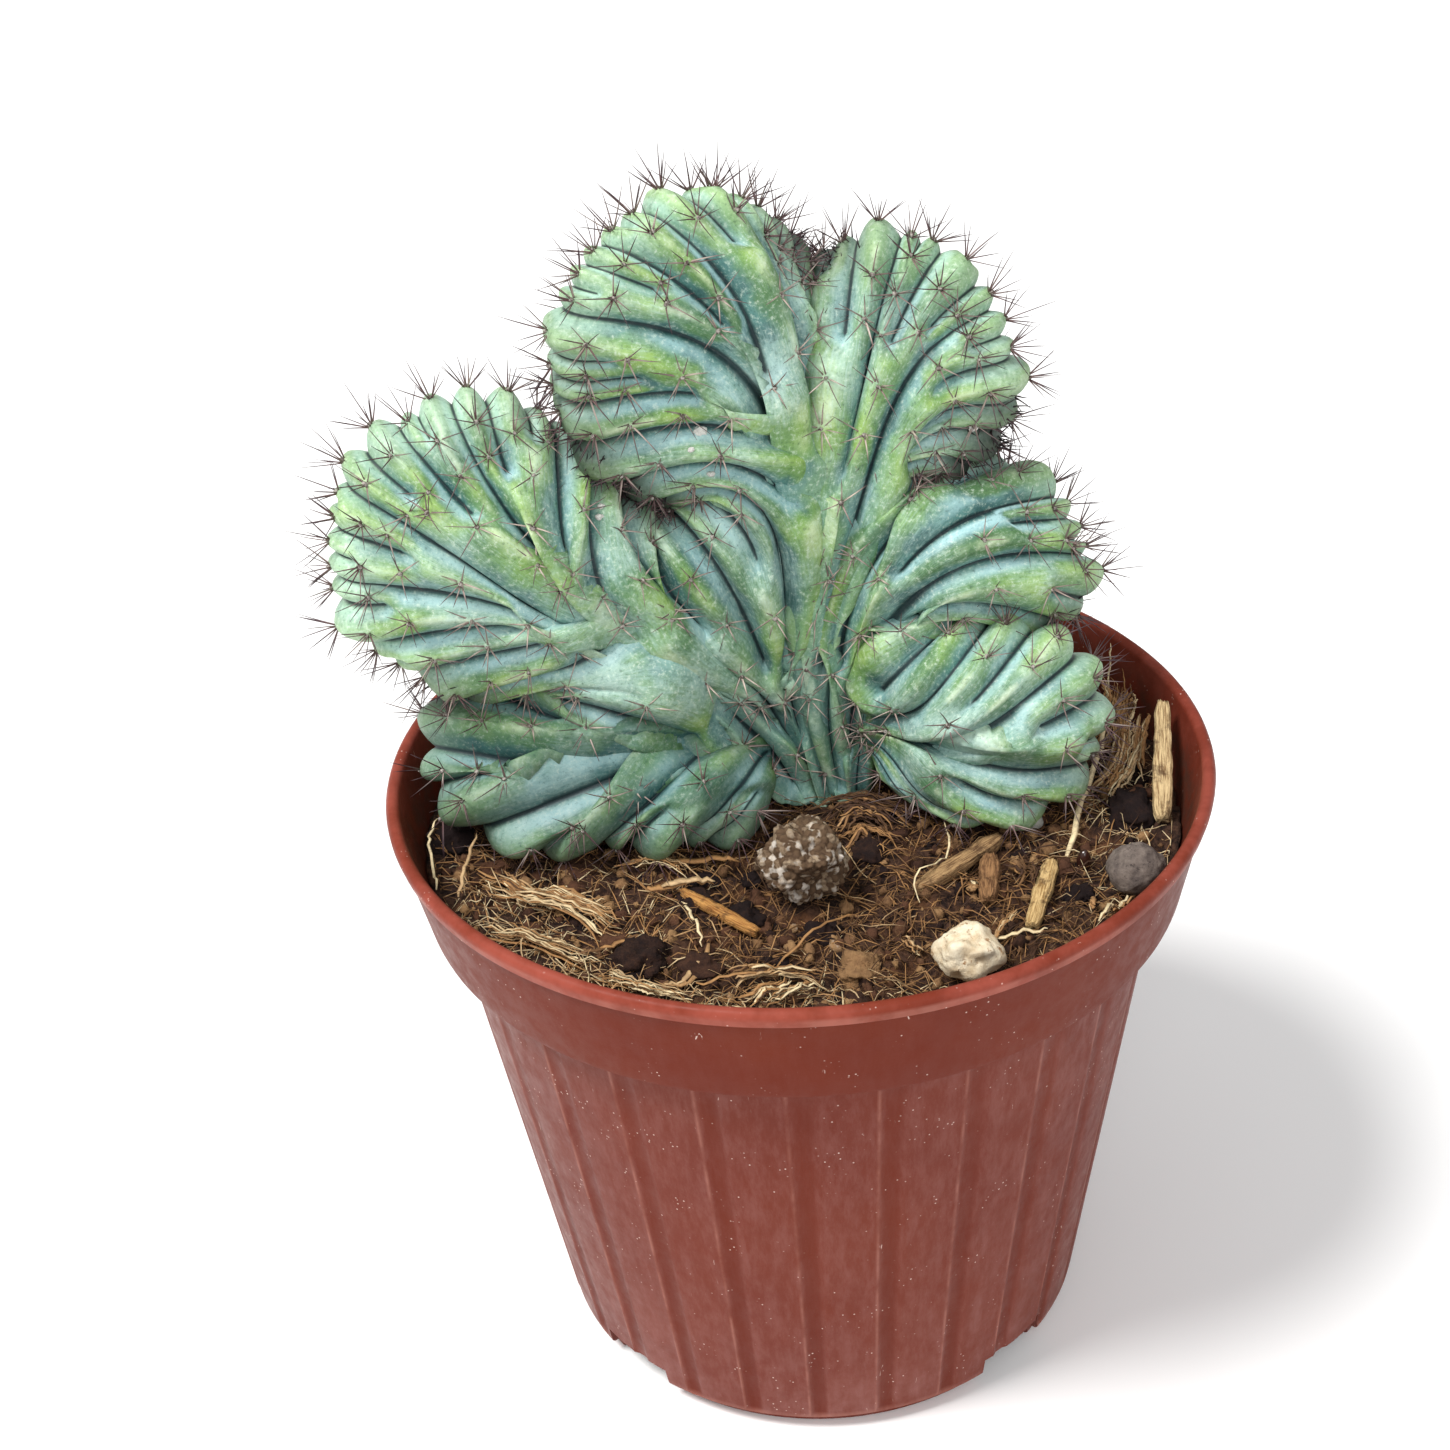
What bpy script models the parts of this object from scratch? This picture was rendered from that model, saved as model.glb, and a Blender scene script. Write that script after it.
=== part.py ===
"""A crested cactus in a fluted plastic nursery pot.

Lengths are in millimetres until an object is made, which turns them into metres.
The origin is the centre of the pot's underside, +Z is up, and the plant's face looks along -Y.
"""
import math
import random

import bmesh
import bpy
import numpy as np
from mathutils import Matrix, Vector, noise
from mathutils.kdtree import KDTree

MM = 0.001
SEED = 7

# Pot
POT_HEIGHT = 96.0
RIM_RADIUS = 60.0
RIM_BEAD = 2.0
BAND_HEIGHT = 17.2
BAND_FOOT_RADIUS = 56.2
BODY_TOP_RADIUS = 52.7
BODY_FOOT_RADIUS = 41.2
FOOT_RADIUS = 39.2
FOOT_HEIGHT = 2.6
WALL = 1.3
FLUTES = 26
FLUTE_FIRST_ANGLE = math.radians(-92.2)
FLUTE_DEPTH = 0.5
FLUTE_HALF_ANGLE = math.radians(1.3)
DRAIN_CUTS = 4
DRAIN_WIDTH = 13.0
DRAIN_HEIGHT = 6.0
DRAIN_DEPTH = 14.0
DRAIN_FIRST_ANGLE = math.radians(-46.0)

# Soil
SOIL_LEVEL = 83.2
SOIL_GAP = 0.4
SOIL_RINGS = 12
SOIL_SPOKES = 44
SOIL_RISE = 2.4
SOIL_LUMPS = 0.5
PIT_DEPTH = 13.0
PIT_RADII = (7.6, 8.2)

# Stones on the soil: centre and radii
STONES = {
    "stone_pumice": ((-0.5, -17.0, 89.0), (6.4, 5.6, 5.8), 0.22, (0.42, 0.38, 0.33)),
    "stone_cream": ((21.6, -37.0, 86.6), (4.6, 4.2, 3.6), 0.16, (0.66, 0.56, 0.40)),
    "pebble_dark": ((46.6, -20.5, 87.2), (4.0, 3.8, 3.4), 0.06, (0.09, 0.075, 0.07)),
    "pebble_pale": ((33.9, -4.5, 85.0), (1.5, 1.2, 1.1), 0.05, (0.45, 0.45, 0.42)),
}

# Wood chips: the two ends on the soil, width and thickness, and how far the second end is lifted
CHIPS = {
    "chip_splinter": ((15.7, -19.5), (29.0, -7.5), 2.6, 1.8, 0.0),
    "chip_bark": ((27.0, -12.8), (25.6, -23.3), 3.0, 1.9, 0.0),
    "chip_pale": ((35.6, -14.0), (31.0, -29.5), 2.4, 1.4, 0.0),
    "chip_stick": ((-17.5, -16.5), (-6.5, -27.5), 1.8, 1.4, 0.0),
    "chip_leaning": ((52.0, -9.0), (54.5, 9.0), 2.6, 1.2, 9.0),
}
CHIP_GAP = 0.4

# Crest: one thick sheet, whose ribs fan out from a short stem
STEM_CENTRE = (4.5, 14.0)
STEM_HALF_WIDTH = 6.0
STEM_FOOT = 72.0
COLLAR_CENTRE = (4.5, 88.0)
RIBS_PER_GUIDE = 3
BODY_HALF_THICKNESS = 5.2
MARGIN_HALF_THICKNESS = 4.4
SLIT_HALF_THICKNESS = 2.4
SIDE_ROUNDING = 5.0
RIB_DEPTH = 2.1
RIB_DEPTH_PER_WIDTH = 0.46
STEM_CLEAR = 18.0
CREST_CLEAR = 0.9
REST_SOFTNESS = 0.4
WALL_CLEAR_RADIUS = 54.0
RIB_SPLIT_WIDTH = (5.2, 7.0)
BEND_SHARE = 0.6
EDGE_RELIEF = 1.8
BODY_FACES = 6200
BODY_VOXEL = 0.8

# Spines
AREOLE_SPACING = 12.0
SPINE_LENGTH = (5.5, 8.5)
SPINE_RADIUS = 0.38
EDGE_SPINES = 3
SPINE_CLEAR = 0.6
SPINE_SPREAD = math.radians(38)

# Guide ribs from the left end of the crest to its right end. Each has the point where the
# rib bends and the point where it meets the crest's growing edge, in millimetres.
GUIDES = {
    "low_left": [
        ((-6, 1, 86), (-9, -6, 86)), ((-13, -2, 90), (-21, -7, 86)), ((-19, -2, 92), (-32, -6, 86)),
        ((-25, -2, 92), (-42, -4, 87)), ((-30, -2, 95), (-49, -3, 90)), ((-31, 0, 96), (-54, 1, 95)),
        ((-32, 0, 99), (-54, 4, 99)), ((-32, 2, 103), (-51, 7, 103)), ((-28, 2, 106), (-45, 9, 103)),
    ],
    "left": [
        ((-24, 2, 112), (-47, 7, 107)), ((-31, 2, 116), (-54, 2, 114)), ((-38, 2, 121), (-62, 1, 121)),
        ((-40, 2, 125), (-64, 2, 131)), ((-40, 2, 128), (-62, 5, 141)), ((-39, 2, 130), (-57, 7, 147)),
        ((-38, 3, 132), (-49, 9, 151)), ((-35, 4, 132), (-42, 10, 152)), ((-31, 4, 131), (-35, 11, 149)),
        ((-28, 4, 129), (-30, 12, 140)), ((-23, 6, 126), (-25, 14, 135)), ((-18, 7, 125), (-20, 16, 128)),
    ],
    "top_left": [
        ((-11, 8, 130), (-17, 16, 130)), ((-7, 8, 135), (-17, 14, 134)), ((-5, 8, 140), (-24, 10, 140)),
        ((-6, 8, 145), (-29, 7, 146)), ((-8, 8, 151), (-31, 4, 155)), ((-8, 8, 155), (-30, 4, 164)),
        ((-7, 9, 158), (-25, 7, 172)), ((-5, 10, 163), (-17, 12, 176)), ((-2, 12, 162), (-9, 15, 177)),
        ((1, 14, 157), (-1, 17, 172)),
    ],
    "notch": [((5, 16, 152), (5, 20, 163))],
    "top_right": [
        ((9, 14, 155), (11, 19, 168)), ((14, 14, 155), (20, 19, 168)), ((18, 13, 153), (28, 16, 163)),
        ((20, 12, 149), (33, 12, 153)), ((20, 12, 143), (33, 12, 144)),
    ],
    "right_eye": [((15, 12, 134), (24, 19, 130))],
    "right": [
        ((17, 10, 127), (31, 18, 130)), ((20, 9, 126), (39, 17, 128)), ((22, 8, 123), (43, 15, 119)),
        ((21, 8, 119), (43, 12, 112)),
    ],
    "low_right_eye": [((17, 8, 114), (27, 14, 109))],
    "low_right": [
        ((17, 4, 109), (26, 12, 108)), ((23, 1, 106), (32, 10, 109)), ((27, 0, 103), (40, 9, 107)),
        ((30, 0, 99), (44, 8, 99)), ((27, -1, 94), (42, 4, 90)), ((21, 0, 91), (33, 0, 86)),
        ((14, 4, 88), (20, -1, 86)),
    ],
}

# Directions in which each lobe's first and last guide leave the stem, in degrees from +X,
# and how far out and how far forward the ribs are when they have left it.
LEAVING_ANGLES = {
    "low_left": (192, 158), "left": (154, 122), "top_left": (118, 100), "notch": (97, 97),
    "top_right": (94, 84), "right_eye": (81, 81), "right": (78, 66), "low_right_eye": (60, 60),
    "low_right": (50, -4),
}
COLLAR_REACH = ((-15, 7.5), (10, 10), (60, 17), (160, 18), (205, 7.5))
COLLAR_DEPTH = ((-10, 9), (60, 11), (100, 13), (150, 10), (205, 7))

# Ribs beside which the edge folds back on itself, counted in guides from the left end
SLITS = (8.5, 20.5, 31, 37, 42)
SLIT_SPREAD = 1.8


def catmull_rom(points, place):
    """Points on the smooth line through `points` at the given places, counted in points."""
    points = np.asarray(points, float)
    first = 2 * points[0] - points[1]
    last = 2 * points[-1] - points[-2]
    line = np.vstack([first, points, last])
    index = np.clip(np.floor(place).astype(int), 0, len(points) - 2)
    t = (place - index)[:, None]
    a, b, c, d = (line[index + k] for k in range(4))
    return 0.5 * (2 * b + (c - a) * t + (2 * a - 5 * b + 4 * c - d) * t**2 + (3 * b - a - 3 * c + d) * t**3)


def guide_points():
    """Bend, edge and leaving angle of every guide rib, from left to right."""
    bends, edges, angles = [], [], []
    for lobe, ribs in GUIDES.items():
        first, last = LEAVING_ANGLES[lobe]
        angles += list(np.linspace(first, last, len(ribs)))
        bends += [rib[0] for rib in ribs]
        edges += [rib[1] for rib in ribs]
    return np.array(bends, float), np.array(edges, float), np.array(angles, float)


def rib_lines(ribs, fractions):
    """Middle lines of the given ribs: points at fractions of each rib's length, and its length."""
    bends, edges, angles = guide_points()
    place = ribs / RIBS_PER_GUIDE
    share = place / (len(bends) - 1)
    angle = catmull_rom(angles[:, None], place)[:, 0]
    reach = np.interp(angle, *zip(*COLLAR_REACH))
    turn = np.radians(angle)
    foot = np.stack([STEM_CENTRE[0] + STEM_HALF_WIDTH * (2 * share - 1),
                     np.full_like(share, STEM_CENTRE[1]), np.full_like(share, STEM_FOOT)], 1)
    collar = np.stack([COLLAR_CENTRE[0] + reach * np.cos(turn), np.interp(angle, *zip(*COLLAR_DEPTH)),
                       COLLAR_CENTRE[1] + reach * np.sin(turn)], 1)
    through = np.stack([foot, collar, catmull_rom(bends, place), catmull_rom(edges, place)], 1)
    lines = smooth_lines(through)
    steps = np.linalg.norm(np.diff(lines, axis=1), axis=2)
    run = np.concatenate([np.zeros((len(ribs), 1)), np.cumsum(steps, 1)], 1)
    length = run[:, -1] - EDGE_RELIEF
    out = np.empty((len(ribs), fractions.shape[1], 3))
    for k, line in enumerate(lines):
        for axis in range(3):
            out[k, :, axis] = np.interp(fractions[k] * length[k], run[k], line[:, axis])
    return out, length


def smooth_lines(through, steps=24):
    """One smooth line through each row of four points, leaving the first one straight up."""
    gap = np.sqrt(np.linalg.norm(np.diff(through, axis=1), axis=2))[..., None]
    slope = np.diff(through, axis=1) / gap
    tangent = np.empty_like(through)
    tangent[:, 1:-1] = (slope[:, :-1] * gap[:, 1:] + slope[:, 1:] * gap[:, :-1]) / (gap[:, 1:] + gap[:, :-1])
    tangent[:, 0] = np.linalg.norm(slope[:, 0], axis=1)[:, None] * np.array([0, 0, 1.0])
    tangent[:, -1] = 1.5 * slope[:, -1] - 0.5 * tangent[:, -2]
    pieces = []
    for k in range(3):
        t = np.linspace(0, 1, steps, endpoint=(k == 2))[None, :, None]
        a, b = through[:, k, None], through[:, k + 1, None]
        ta, tb = tangent[:, k, None] * gap[:, k, None], tangent[:, k + 1, None] * gap[:, k, None]
        pieces.append((2 * t**3 - 3 * t**2 + 1) * a + (t**3 - 2 * t**2 + t) * ta
                      + (3 * t**2 - 2 * t**3) * b + (t**3 - t**2) * tb)
    return np.concatenate(pieces, 1)


def smoothstep(x):
    x = np.clip(x, 0, 1)
    return x * x * (3 - 2 * x)


def unit(v):
    return v / np.maximum(np.linalg.norm(v, axis=-1, keepdims=True), 1e-9)


def soil_height(x, y):
    """Height of the soil's lumpy surface, lower under the stones and higher at the wall."""
    radius = np.hypot(x, y)
    height = SOIL_LEVEL + SOIL_RISE * smoothstep((radius - 40) / 14)
    height = height + SOIL_LUMPS * np.sin(0.31 * x + 1.0) * np.sin(0.27 * y + 2.0)
    for (cx, cy, cz), (rx, ry, rz), _, _ in STONES.values():
        far = np.hypot((x - cx) / (rx + 3), (y - cy) / (ry + 3))
        bed = cz - 1.15 * rz - SOIL_GAP
        height = height + np.minimum(bed - height, 0) * smoothstep((1.5 - far) / 0.5)
    return height


def clear_height(x, y):
    """Height above which the plant clears the soil and, near the wall, the pot's rim."""
    near_wall = smoothstep((np.hypot(x, y) - WALL_CLEAR_RADIUS) / 3)
    ground = soil_height(x, y) + CREST_CLEAR
    return ground + (POT_HEIGHT + CREST_CLEAR - ground) * near_wall


class Crest:
    """The crest's surface on a grid: one column per place across the ribs, and rows that run
    up the front of the sheet, over its edge and down its back."""

    def __init__(self, columns_per_rib, rows, edge_rows):
        bends = guide_points()[0]
        self.rib_count = RIBS_PER_GUIDE * (len(bends) - 1) + 1
        count = self.rib_count * columns_per_rib
        self.ribs = np.linspace(-0.5, self.rib_count - 0.5, count + 1)
        slit = sum(np.exp(-((self.ribs / RIBS_PER_GUIDE - s) / SLIT_SPREAD) ** 2) for s in SLITS)
        edge = MARGIN_HALF_THICKNESS + (SLIT_HALF_THICKNESS - MARGIN_HALF_THICKNESS) * np.minimum(slit, 1)
        length = rib_lines(self.ribs, np.array([[0, 1.0]] * len(self.ribs)))[1]
        turn = np.linspace(0, math.pi / 2, edge_rows + 1)
        straight = np.linspace(0, 1, rows, endpoint=False)[None, :] * (1 - edge / length)[:, None]
        round_off = 1 - (edge / length)[:, None] * (1 - np.sin(turn))[None, :]
        fractions = np.concatenate([straight, round_off], 1)
        closing = np.concatenate([np.ones(rows), np.cos(turn)])
        self.middle = rib_lines(self.ribs, fractions)[0]
        self.fractions, self.length, self.half_rows = fractions, length, rows + edge_rows
        across = np.linalg.norm(np.diff(self.middle, axis=0), axis=2)
        self.across = np.concatenate([np.zeros((1, fractions.shape[1])), np.cumsum(across, 0)])
        thinner = (BODY_HALF_THICKNESS - edge[:, None]) * smoothstep((fractions - 0.5) / 0.5)
        inward = np.minimum(self.across, self.across[-1] - self.across) / SIDE_ROUNDING
        self.side = np.sqrt(1 - (1 - np.clip(inward, 0, 1)) ** 2)
        half = (BODY_HALF_THICKNESS - thinner) * closing * self.side
        facing = self.face_normals()
        front = self.middle + facing * half[..., None]
        back = self.middle - facing * half[..., None]
        self.surface = np.concatenate([front, back[:, -2::-1]], 1)
        self.raise_ribs()

    def face_normals(self):
        """Directions square to the sheet, smoothed, towards the plant's front."""
        normal = unit(np.cross(np.gradient(self.middle, axis=0), np.gradient(self.middle, axis=1)))
        for _ in range(6):
            wide = np.pad(normal, ((1, 1), (1, 1), (0, 0)), mode="edge")
            normal = unit(wide[:-2, 1:-1] + wide[2:, 1:-1] + wide[1:-1, :-2] + wide[1:-1, 2:] + normal)
        return normal

    def raise_ribs(self):
        """Raise the branching ribs from the sheet, on its front, edge and back alike."""
        self.branches = []
        relief = self.branch(-0.5, self.rib_count - 0.5, random.Random(SEED), np.zeros(self.across.shape[1]))
        relief = relief * smoothstep(self.side)
        self.relief = np.concatenate([relief, relief[:, -2::-1]], 1)
        outward = unit(np.cross(np.gradient(self.surface, axis=0), np.gradient(self.surface, axis=1)))
        self.surface = self.surface + outward * self.relief[..., None]
        self.outward = outward
        self.rest_on_soil()

    def rest_on_soil(self):
        """Flatten the underside where the low lobes lie on the soil, outside the stem's pit."""
        x, y, z = np.moveaxis(self.surface, 2, 0)
        across, deep = (radius - CREST_CLEAR for radius in PIT_RADII)
        from_stem = np.hypot((x - STEM_CENTRE[0]) / across, (y - STEM_CENTRE[1]) / deep)
        ground = soil_height(x, y) + CREST_CLEAR
        ground = ground + (STEM_FOOT - ground) * smoothstep((1 - from_stem) / 0.15)
        self.surface[..., 2] = ground + REST_SOFTNESS * np.logaddexp(0, (z - ground) / REST_SOFTNESS)

    def fork_strength(self, strength):
        """A fork opens where the rib stays wide from there on, and never closes beyond the bend."""
        bend = int(BEND_SHARE * len(strength))
        strength[:bend + 1] = np.minimum.accumulate(strength[bend::-1])[::-1]
        strength[bend:] = np.maximum.accumulate(strength[bend:])
        return strength

    def column(self, rib):
        return int(round((rib + 0.5) / self.rib_count * (len(self.ribs) - 1)))

    def branch(self, low, high, rng, from_row):
        """Height of the rib between two grooves, forked into two where it is wide enough."""
        a, b = self.column(low), self.column(high)
        width = self.across[b] - self.across[a]
        place = (self.across[a:b + 1] - self.across[a]) / np.maximum(width, 1e-6)
        depth = np.minimum(RIB_DEPTH, RIB_DEPTH_PER_WIDTH * width)
        own = depth * (1 - np.abs(2 * place - 1) ** 2.2)
        fork = np.zeros_like(width)
        if high - low > 1.5:
            split_width = rng.uniform(*RIB_SPLIT_WIDTH)
            fork = self.fork_strength(smoothstep((width - split_width) / (0.4 * split_width)))
            row = int(np.argmax(fork > 0.5)) if fork.max() > 0.5 else len(fork) - 1
            half_way = a + int(np.argmin(np.abs(place[:, row] - rng.uniform(0.4, 0.6))))
            middle = -0.5 + round(half_way / (len(self.ribs) - 1) * self.rib_count)
            middle = min(max(middle, low + 1), high - 1)
            left = self.branch(low, middle, rng, fork)
            right = self.branch(middle, high, rng, fork)
            children = np.concatenate([left, right[1:]])
            own = (1 - fork) * own + fork * children
        self.branches.append((low, high, from_row, fork))
        return own

    def centre(self, low, high, row):
        """Column halfway across a rib at the given row."""
        a, b = self.column(low), self.column(high)
        run = self.across[a:b + 1, row]
        return a + int(np.argmin(np.abs(run - (run[0] + run[-1]) / 2)))

    def areoles(self, spacing, rng):
        """Places of the spine cushions on the ridges: point, outward direction, distance to the edge."""
        last = self.surface.shape[1] - 1
        found = []
        for low, high, opened, fork in self.branches:
            middle = self.column((low + high) / 2)
            from_edge = self.length[middle] * (1 - self.fractions[middle])
            distance = rng.uniform(0.2, 1.2)
            while distance < from_edge[0] - STEM_CLEAR:
                row = int(np.argmin(np.abs(from_edge - distance)))
                if opened[row] > 0.5 and fork[row] < 0.5:
                    column = self.centre(low, high, row)
                    sides = (row,) if distance < 2 else (row, last - row)
                    for side in sides:
                        found.append((self.surface[column, side], self.outward[column, side], distance))
                distance += spacing * rng.uniform(0.85, 1.15) * (0.75 if distance < 2 else 1)
        return found

    def solid(self):
        """Vertices and faces of the closed sheet, with a flat foot."""
        columns, rows = self.surface.shape[:2]
        index = np.arange(columns * rows).reshape(columns, rows)
        for end in (0, -1):
            index[end] = np.where(np.arange(rows) < rows / 2, index[end], index[end][::-1])
        faces = [(int(index[c, r]), int(index[c + 1, r]), int(index[c + 1, r + 1]), int(index[c, r + 1]))
                 for c in range(columns - 1) for r in range(rows - 1)]
        foot = [int(v) for v in index[::-1, 0]] + [int(v) for v in index[1:-1, -1]]
        faces.append(tuple(foot))
        return self.surface.reshape(-1, 3), faces


def mesh_object(name, vertices, faces, material):
    mesh = bpy.data.meshes.new(name)
    mesh.from_pydata([tuple(float(c) * MM for c in v) for v in vertices], [], faces)
    mesh.update()
    obj = bpy.data.objects.new(name, mesh)
    bpy.context.collection.objects.link(obj)
    mesh.materials.append(material)
    mesh.shade_smooth()
    mesh.set_sharp_from_angle(angle=math.radians(40))
    return obj


def plain_material(name, colour, roughness):
    made = bpy.data.materials.new(name)
    made.use_nodes = True
    shader = made.node_tree.nodes["Principled BSDF"]
    shader.inputs["Base Color"].default_value = (*colour, 1)
    shader.inputs["Roughness"].default_value = roughness
    shader.inputs["Metallic"].default_value = 0.0
    return made


def apply_modifiers(obj):
    evaluated = obj.evaluated_get(bpy.context.evaluated_depsgraph_get())
    mesh = bpy.data.meshes.new_from_object(evaluated)
    obj.modifiers.clear()
    obj.data = mesh


def ring_faces(count, rings):
    """Faces of a closed shape made of rings of `count` vertices, flat at both ends."""
    faces = [tuple(range(count))[::-1], tuple(range((rings - 1) * count, rings * count))]
    for ring in range(rings - 1):
        for k in range(count):
            a, b = ring * count + k, ring * count + (k + 1) % count
            faces.append((a, b, b + count, a + count))
    return faces


def turned(profile, angles, radius_at=None):
    """Vertices and faces of a closed turned shape from a closed list of (radius, height)."""
    vertices = []
    for place, (radius, height) in enumerate(profile):
        for angle in angles:
            r = radius_at(place, radius, angle) if radius_at else radius
            vertices.append((r * math.cos(angle), r * math.sin(angle), height))
    return vertices, ring_faces(len(angles), len(profile))


def body_radius(height):
    """Outer radius of the pot's fluted wall."""
    share = (height - FOOT_HEIGHT) / (POT_HEIGHT - BAND_HEIGHT - FOOT_HEIGHT)
    return BODY_FOOT_RADIUS + (BODY_TOP_RADIUS - BODY_FOOT_RADIUS) * share


INNER_HEIGHTS = (POT_HEIGHT - 6, POT_HEIGHT - 11, POT_HEIGHT - BAND_HEIGHT + 2,
                 POT_HEIGHT - BAND_HEIGHT, FOOT_HEIGHT + WALL)


def inner_radius(height):
    """Inner radius of the pot at a height."""
    band_foot = POT_HEIGHT - BAND_HEIGHT
    if height <= band_foot:
        return body_radius(height) - WALL
    low = body_radius(band_foot) - WALL
    return low + (RIM_RADIUS - RIM_BEAD - low) * ((height - band_foot) / BAND_HEIGHT) ** 0.45


def wall_radius(height):
    """Radius of the pot's inner wall between the rings of its profile."""
    heights = INNER_HEIGHTS[::-1]
    return float(np.interp(height, heights, [inner_radius(h) for h in heights]))


def build_pot():
    """Thin turned wall with a band, flutes, a stepped-in flat base and notches that drain it."""
    step = 2 * math.pi / FLUTES
    angles = [FLUTE_FIRST_ANGLE + k * step + offset for k in range(FLUTES)
              for offset in (-FLUTE_HALF_ANGLE, 0, FLUTE_HALF_ANGLE, step / 2)]
    band_foot = POT_HEIGHT - BAND_HEIGHT
    outside = [(FOOT_RADIUS, 0), (FOOT_RADIUS, FOOT_HEIGHT - 0.6), (BODY_FOOT_RADIUS, FOOT_HEIGHT)]
    fluted = [FOOT_HEIGHT + 1.5, FOOT_HEIGHT + 38, band_foot - 1.5]
    outside += [(body_radius(height), height) for height in fluted]
    outside += [(BODY_TOP_RADIUS, band_foot - 0.4), (BAND_FOOT_RADIUS - 0.8, band_foot),
                (BAND_FOOT_RADIUS, band_foot + 0.8), (RIM_RADIUS - 1.0, POT_HEIGHT - 3.0),
                (RIM_RADIUS, POT_HEIGHT - 1.8), (RIM_RADIUS - 0.6, POT_HEIGHT - 0.3),
                (RIM_RADIUS - 1.4, POT_HEIGHT), (RIM_RADIUS - RIM_BEAD, POT_HEIGHT - 0.8)]
    inside = INNER_HEIGHTS
    profile = outside + [(inner_radius(height), height) for height in inside]
    profile += [(FOOT_RADIUS - WALL, FOOT_HEIGHT + WALL - 0.3), (FOOT_RADIUS - WALL, WALL)]
    deepest = (FLUTE_DEPTH, FLUTE_DEPTH * 0.8, FLUTE_DEPTH * 0.6)
    first = outside.index((BODY_FOOT_RADIUS, FOOT_HEIGHT)) + 1

    def radius_at(place, radius, angle):
        in_flute = abs(((angle - FLUTE_FIRST_ANGLE) / step + 0.5) % 1 - 0.5) * step < FLUTE_HALF_ANGLE / 2
        if in_flute and first <= place < first + len(fluted):
            return radius - deepest[place - first]
        return radius

    vertices, faces = turned(profile, angles, radius_at)
    pot = mesh_object("pot", vertices, faces, plain_material("pot_plastic", (0.23, 0.055, 0.032), 0.42))
    for k in range(DRAIN_CUTS):
        cut(pot, drain_block(DRAIN_FIRST_ANGLE + k * 2 * math.pi / DRAIN_CUTS), f"drain_{k}")
    return pot


def drain_block(angle):
    """Block that makes one drain notch through the base's edge and the bottom of the wall."""
    bpy.ops.mesh.primitive_cube_add(size=1)
    block = bpy.context.object
    block.scale = (DRAIN_DEPTH * MM, DRAIN_WIDTH * MM, 2 * DRAIN_HEIGHT * MM)
    reach = (FOOT_RADIUS - 1.0) * MM
    block.location = (reach * math.cos(angle), reach * math.sin(angle), 0)
    block.rotation_euler = (0, 0, angle)
    return block


def build_soil():
    """Potting mix that fills the pot, with a plain pit for the stem."""
    angles = [2 * math.pi * k / SOIL_SPOKES for k in range(SOIL_SPOKES)]
    foot = FOOT_RADIUS - WALL - SOIL_GAP
    step = INNER_HEIGHTS[-1] + SOIL_GAP
    side_heights = [step + 0.1] + [h for h in INNER_HEIGHTS[::-1] if step < h < SOIL_LEVEL - 2]
    side = [(foot, WALL + SOIL_GAP), (foot, step)] + [(wall_radius(h) - SOIL_GAP, h) for h in side_heights]
    vertices = [(r * math.cos(a), r * math.sin(a), h) for r, h in side for a in angles]
    for ring in range(SOIL_RINGS, 0, -1):
        for a in angles:
            reach = wall_radius(SOIL_LEVEL) * ring / SOIL_RINGS
            height = float(soil_height(reach * math.cos(a), reach * math.sin(a)))
            radius = (wall_radius(height) - SOIL_GAP) * ring / SOIL_RINGS
            vertices.append((radius * math.cos(a), radius * math.sin(a), height))
    faces = ring_faces(SOIL_SPOKES, len(side) + SOIL_RINGS)
    soil = mesh_object("soil", vertices, faces, plain_material("potting_mix", (0.06, 0.035, 0.02), 0.95))
    cut(soil, stem_pit(), "stem_pit")
    return soil


def stem_pit():
    """Upright oval block that makes the hole for the stem."""
    place = (STEM_CENTRE[0] * MM, STEM_CENTRE[1] * MM, SOIL_LEVEL * MM)
    bpy.ops.mesh.primitive_cylinder_add(vertices=24, radius=MM, depth=2 * PIT_DEPTH * MM, location=place)
    pit = bpy.context.object
    pit.scale = (*PIT_RADII, 1)
    return pit


def cut(obj, cutter, name):
    """Take the cutter's volume out of the object, and keep the cutter out of renders."""
    cutter.name = f"{name}_cutter"
    cutter.hide_render = True
    cutter.display_type = "WIRE"
    modifier = obj.modifiers.new(name, "BOOLEAN")
    modifier.object = cutter
    modifier.operation = "DIFFERENCE"
    modifier.solver = "EXACT"


def build_stones():
    for number, (name, (centre, radii, lumps, colour)) in enumerate(STONES.items()):
        rng = random.Random(SEED + number)
        shift = Vector((rng.uniform(-9, 9), rng.uniform(-9, 9), rng.uniform(-9, 9)))
        shape = bmesh.new()
        bmesh.ops.create_icosphere(shape, subdivisions=2, radius=1)
        vertices = []
        for vertex in shape.verts:
            swell = 1 + lumps * noise.noise(vertex.co * 1.7 + shift)
            vertices.append(tuple(c + r * swell * v for c, r, v in zip(centre, radii, vertex.co)))
        faces = [tuple(v.index for v in face.verts) for face in shape.faces]
        shape.free()
        mesh_object(name, vertices, faces, plain_material(name, colour, 0.9))


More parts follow.
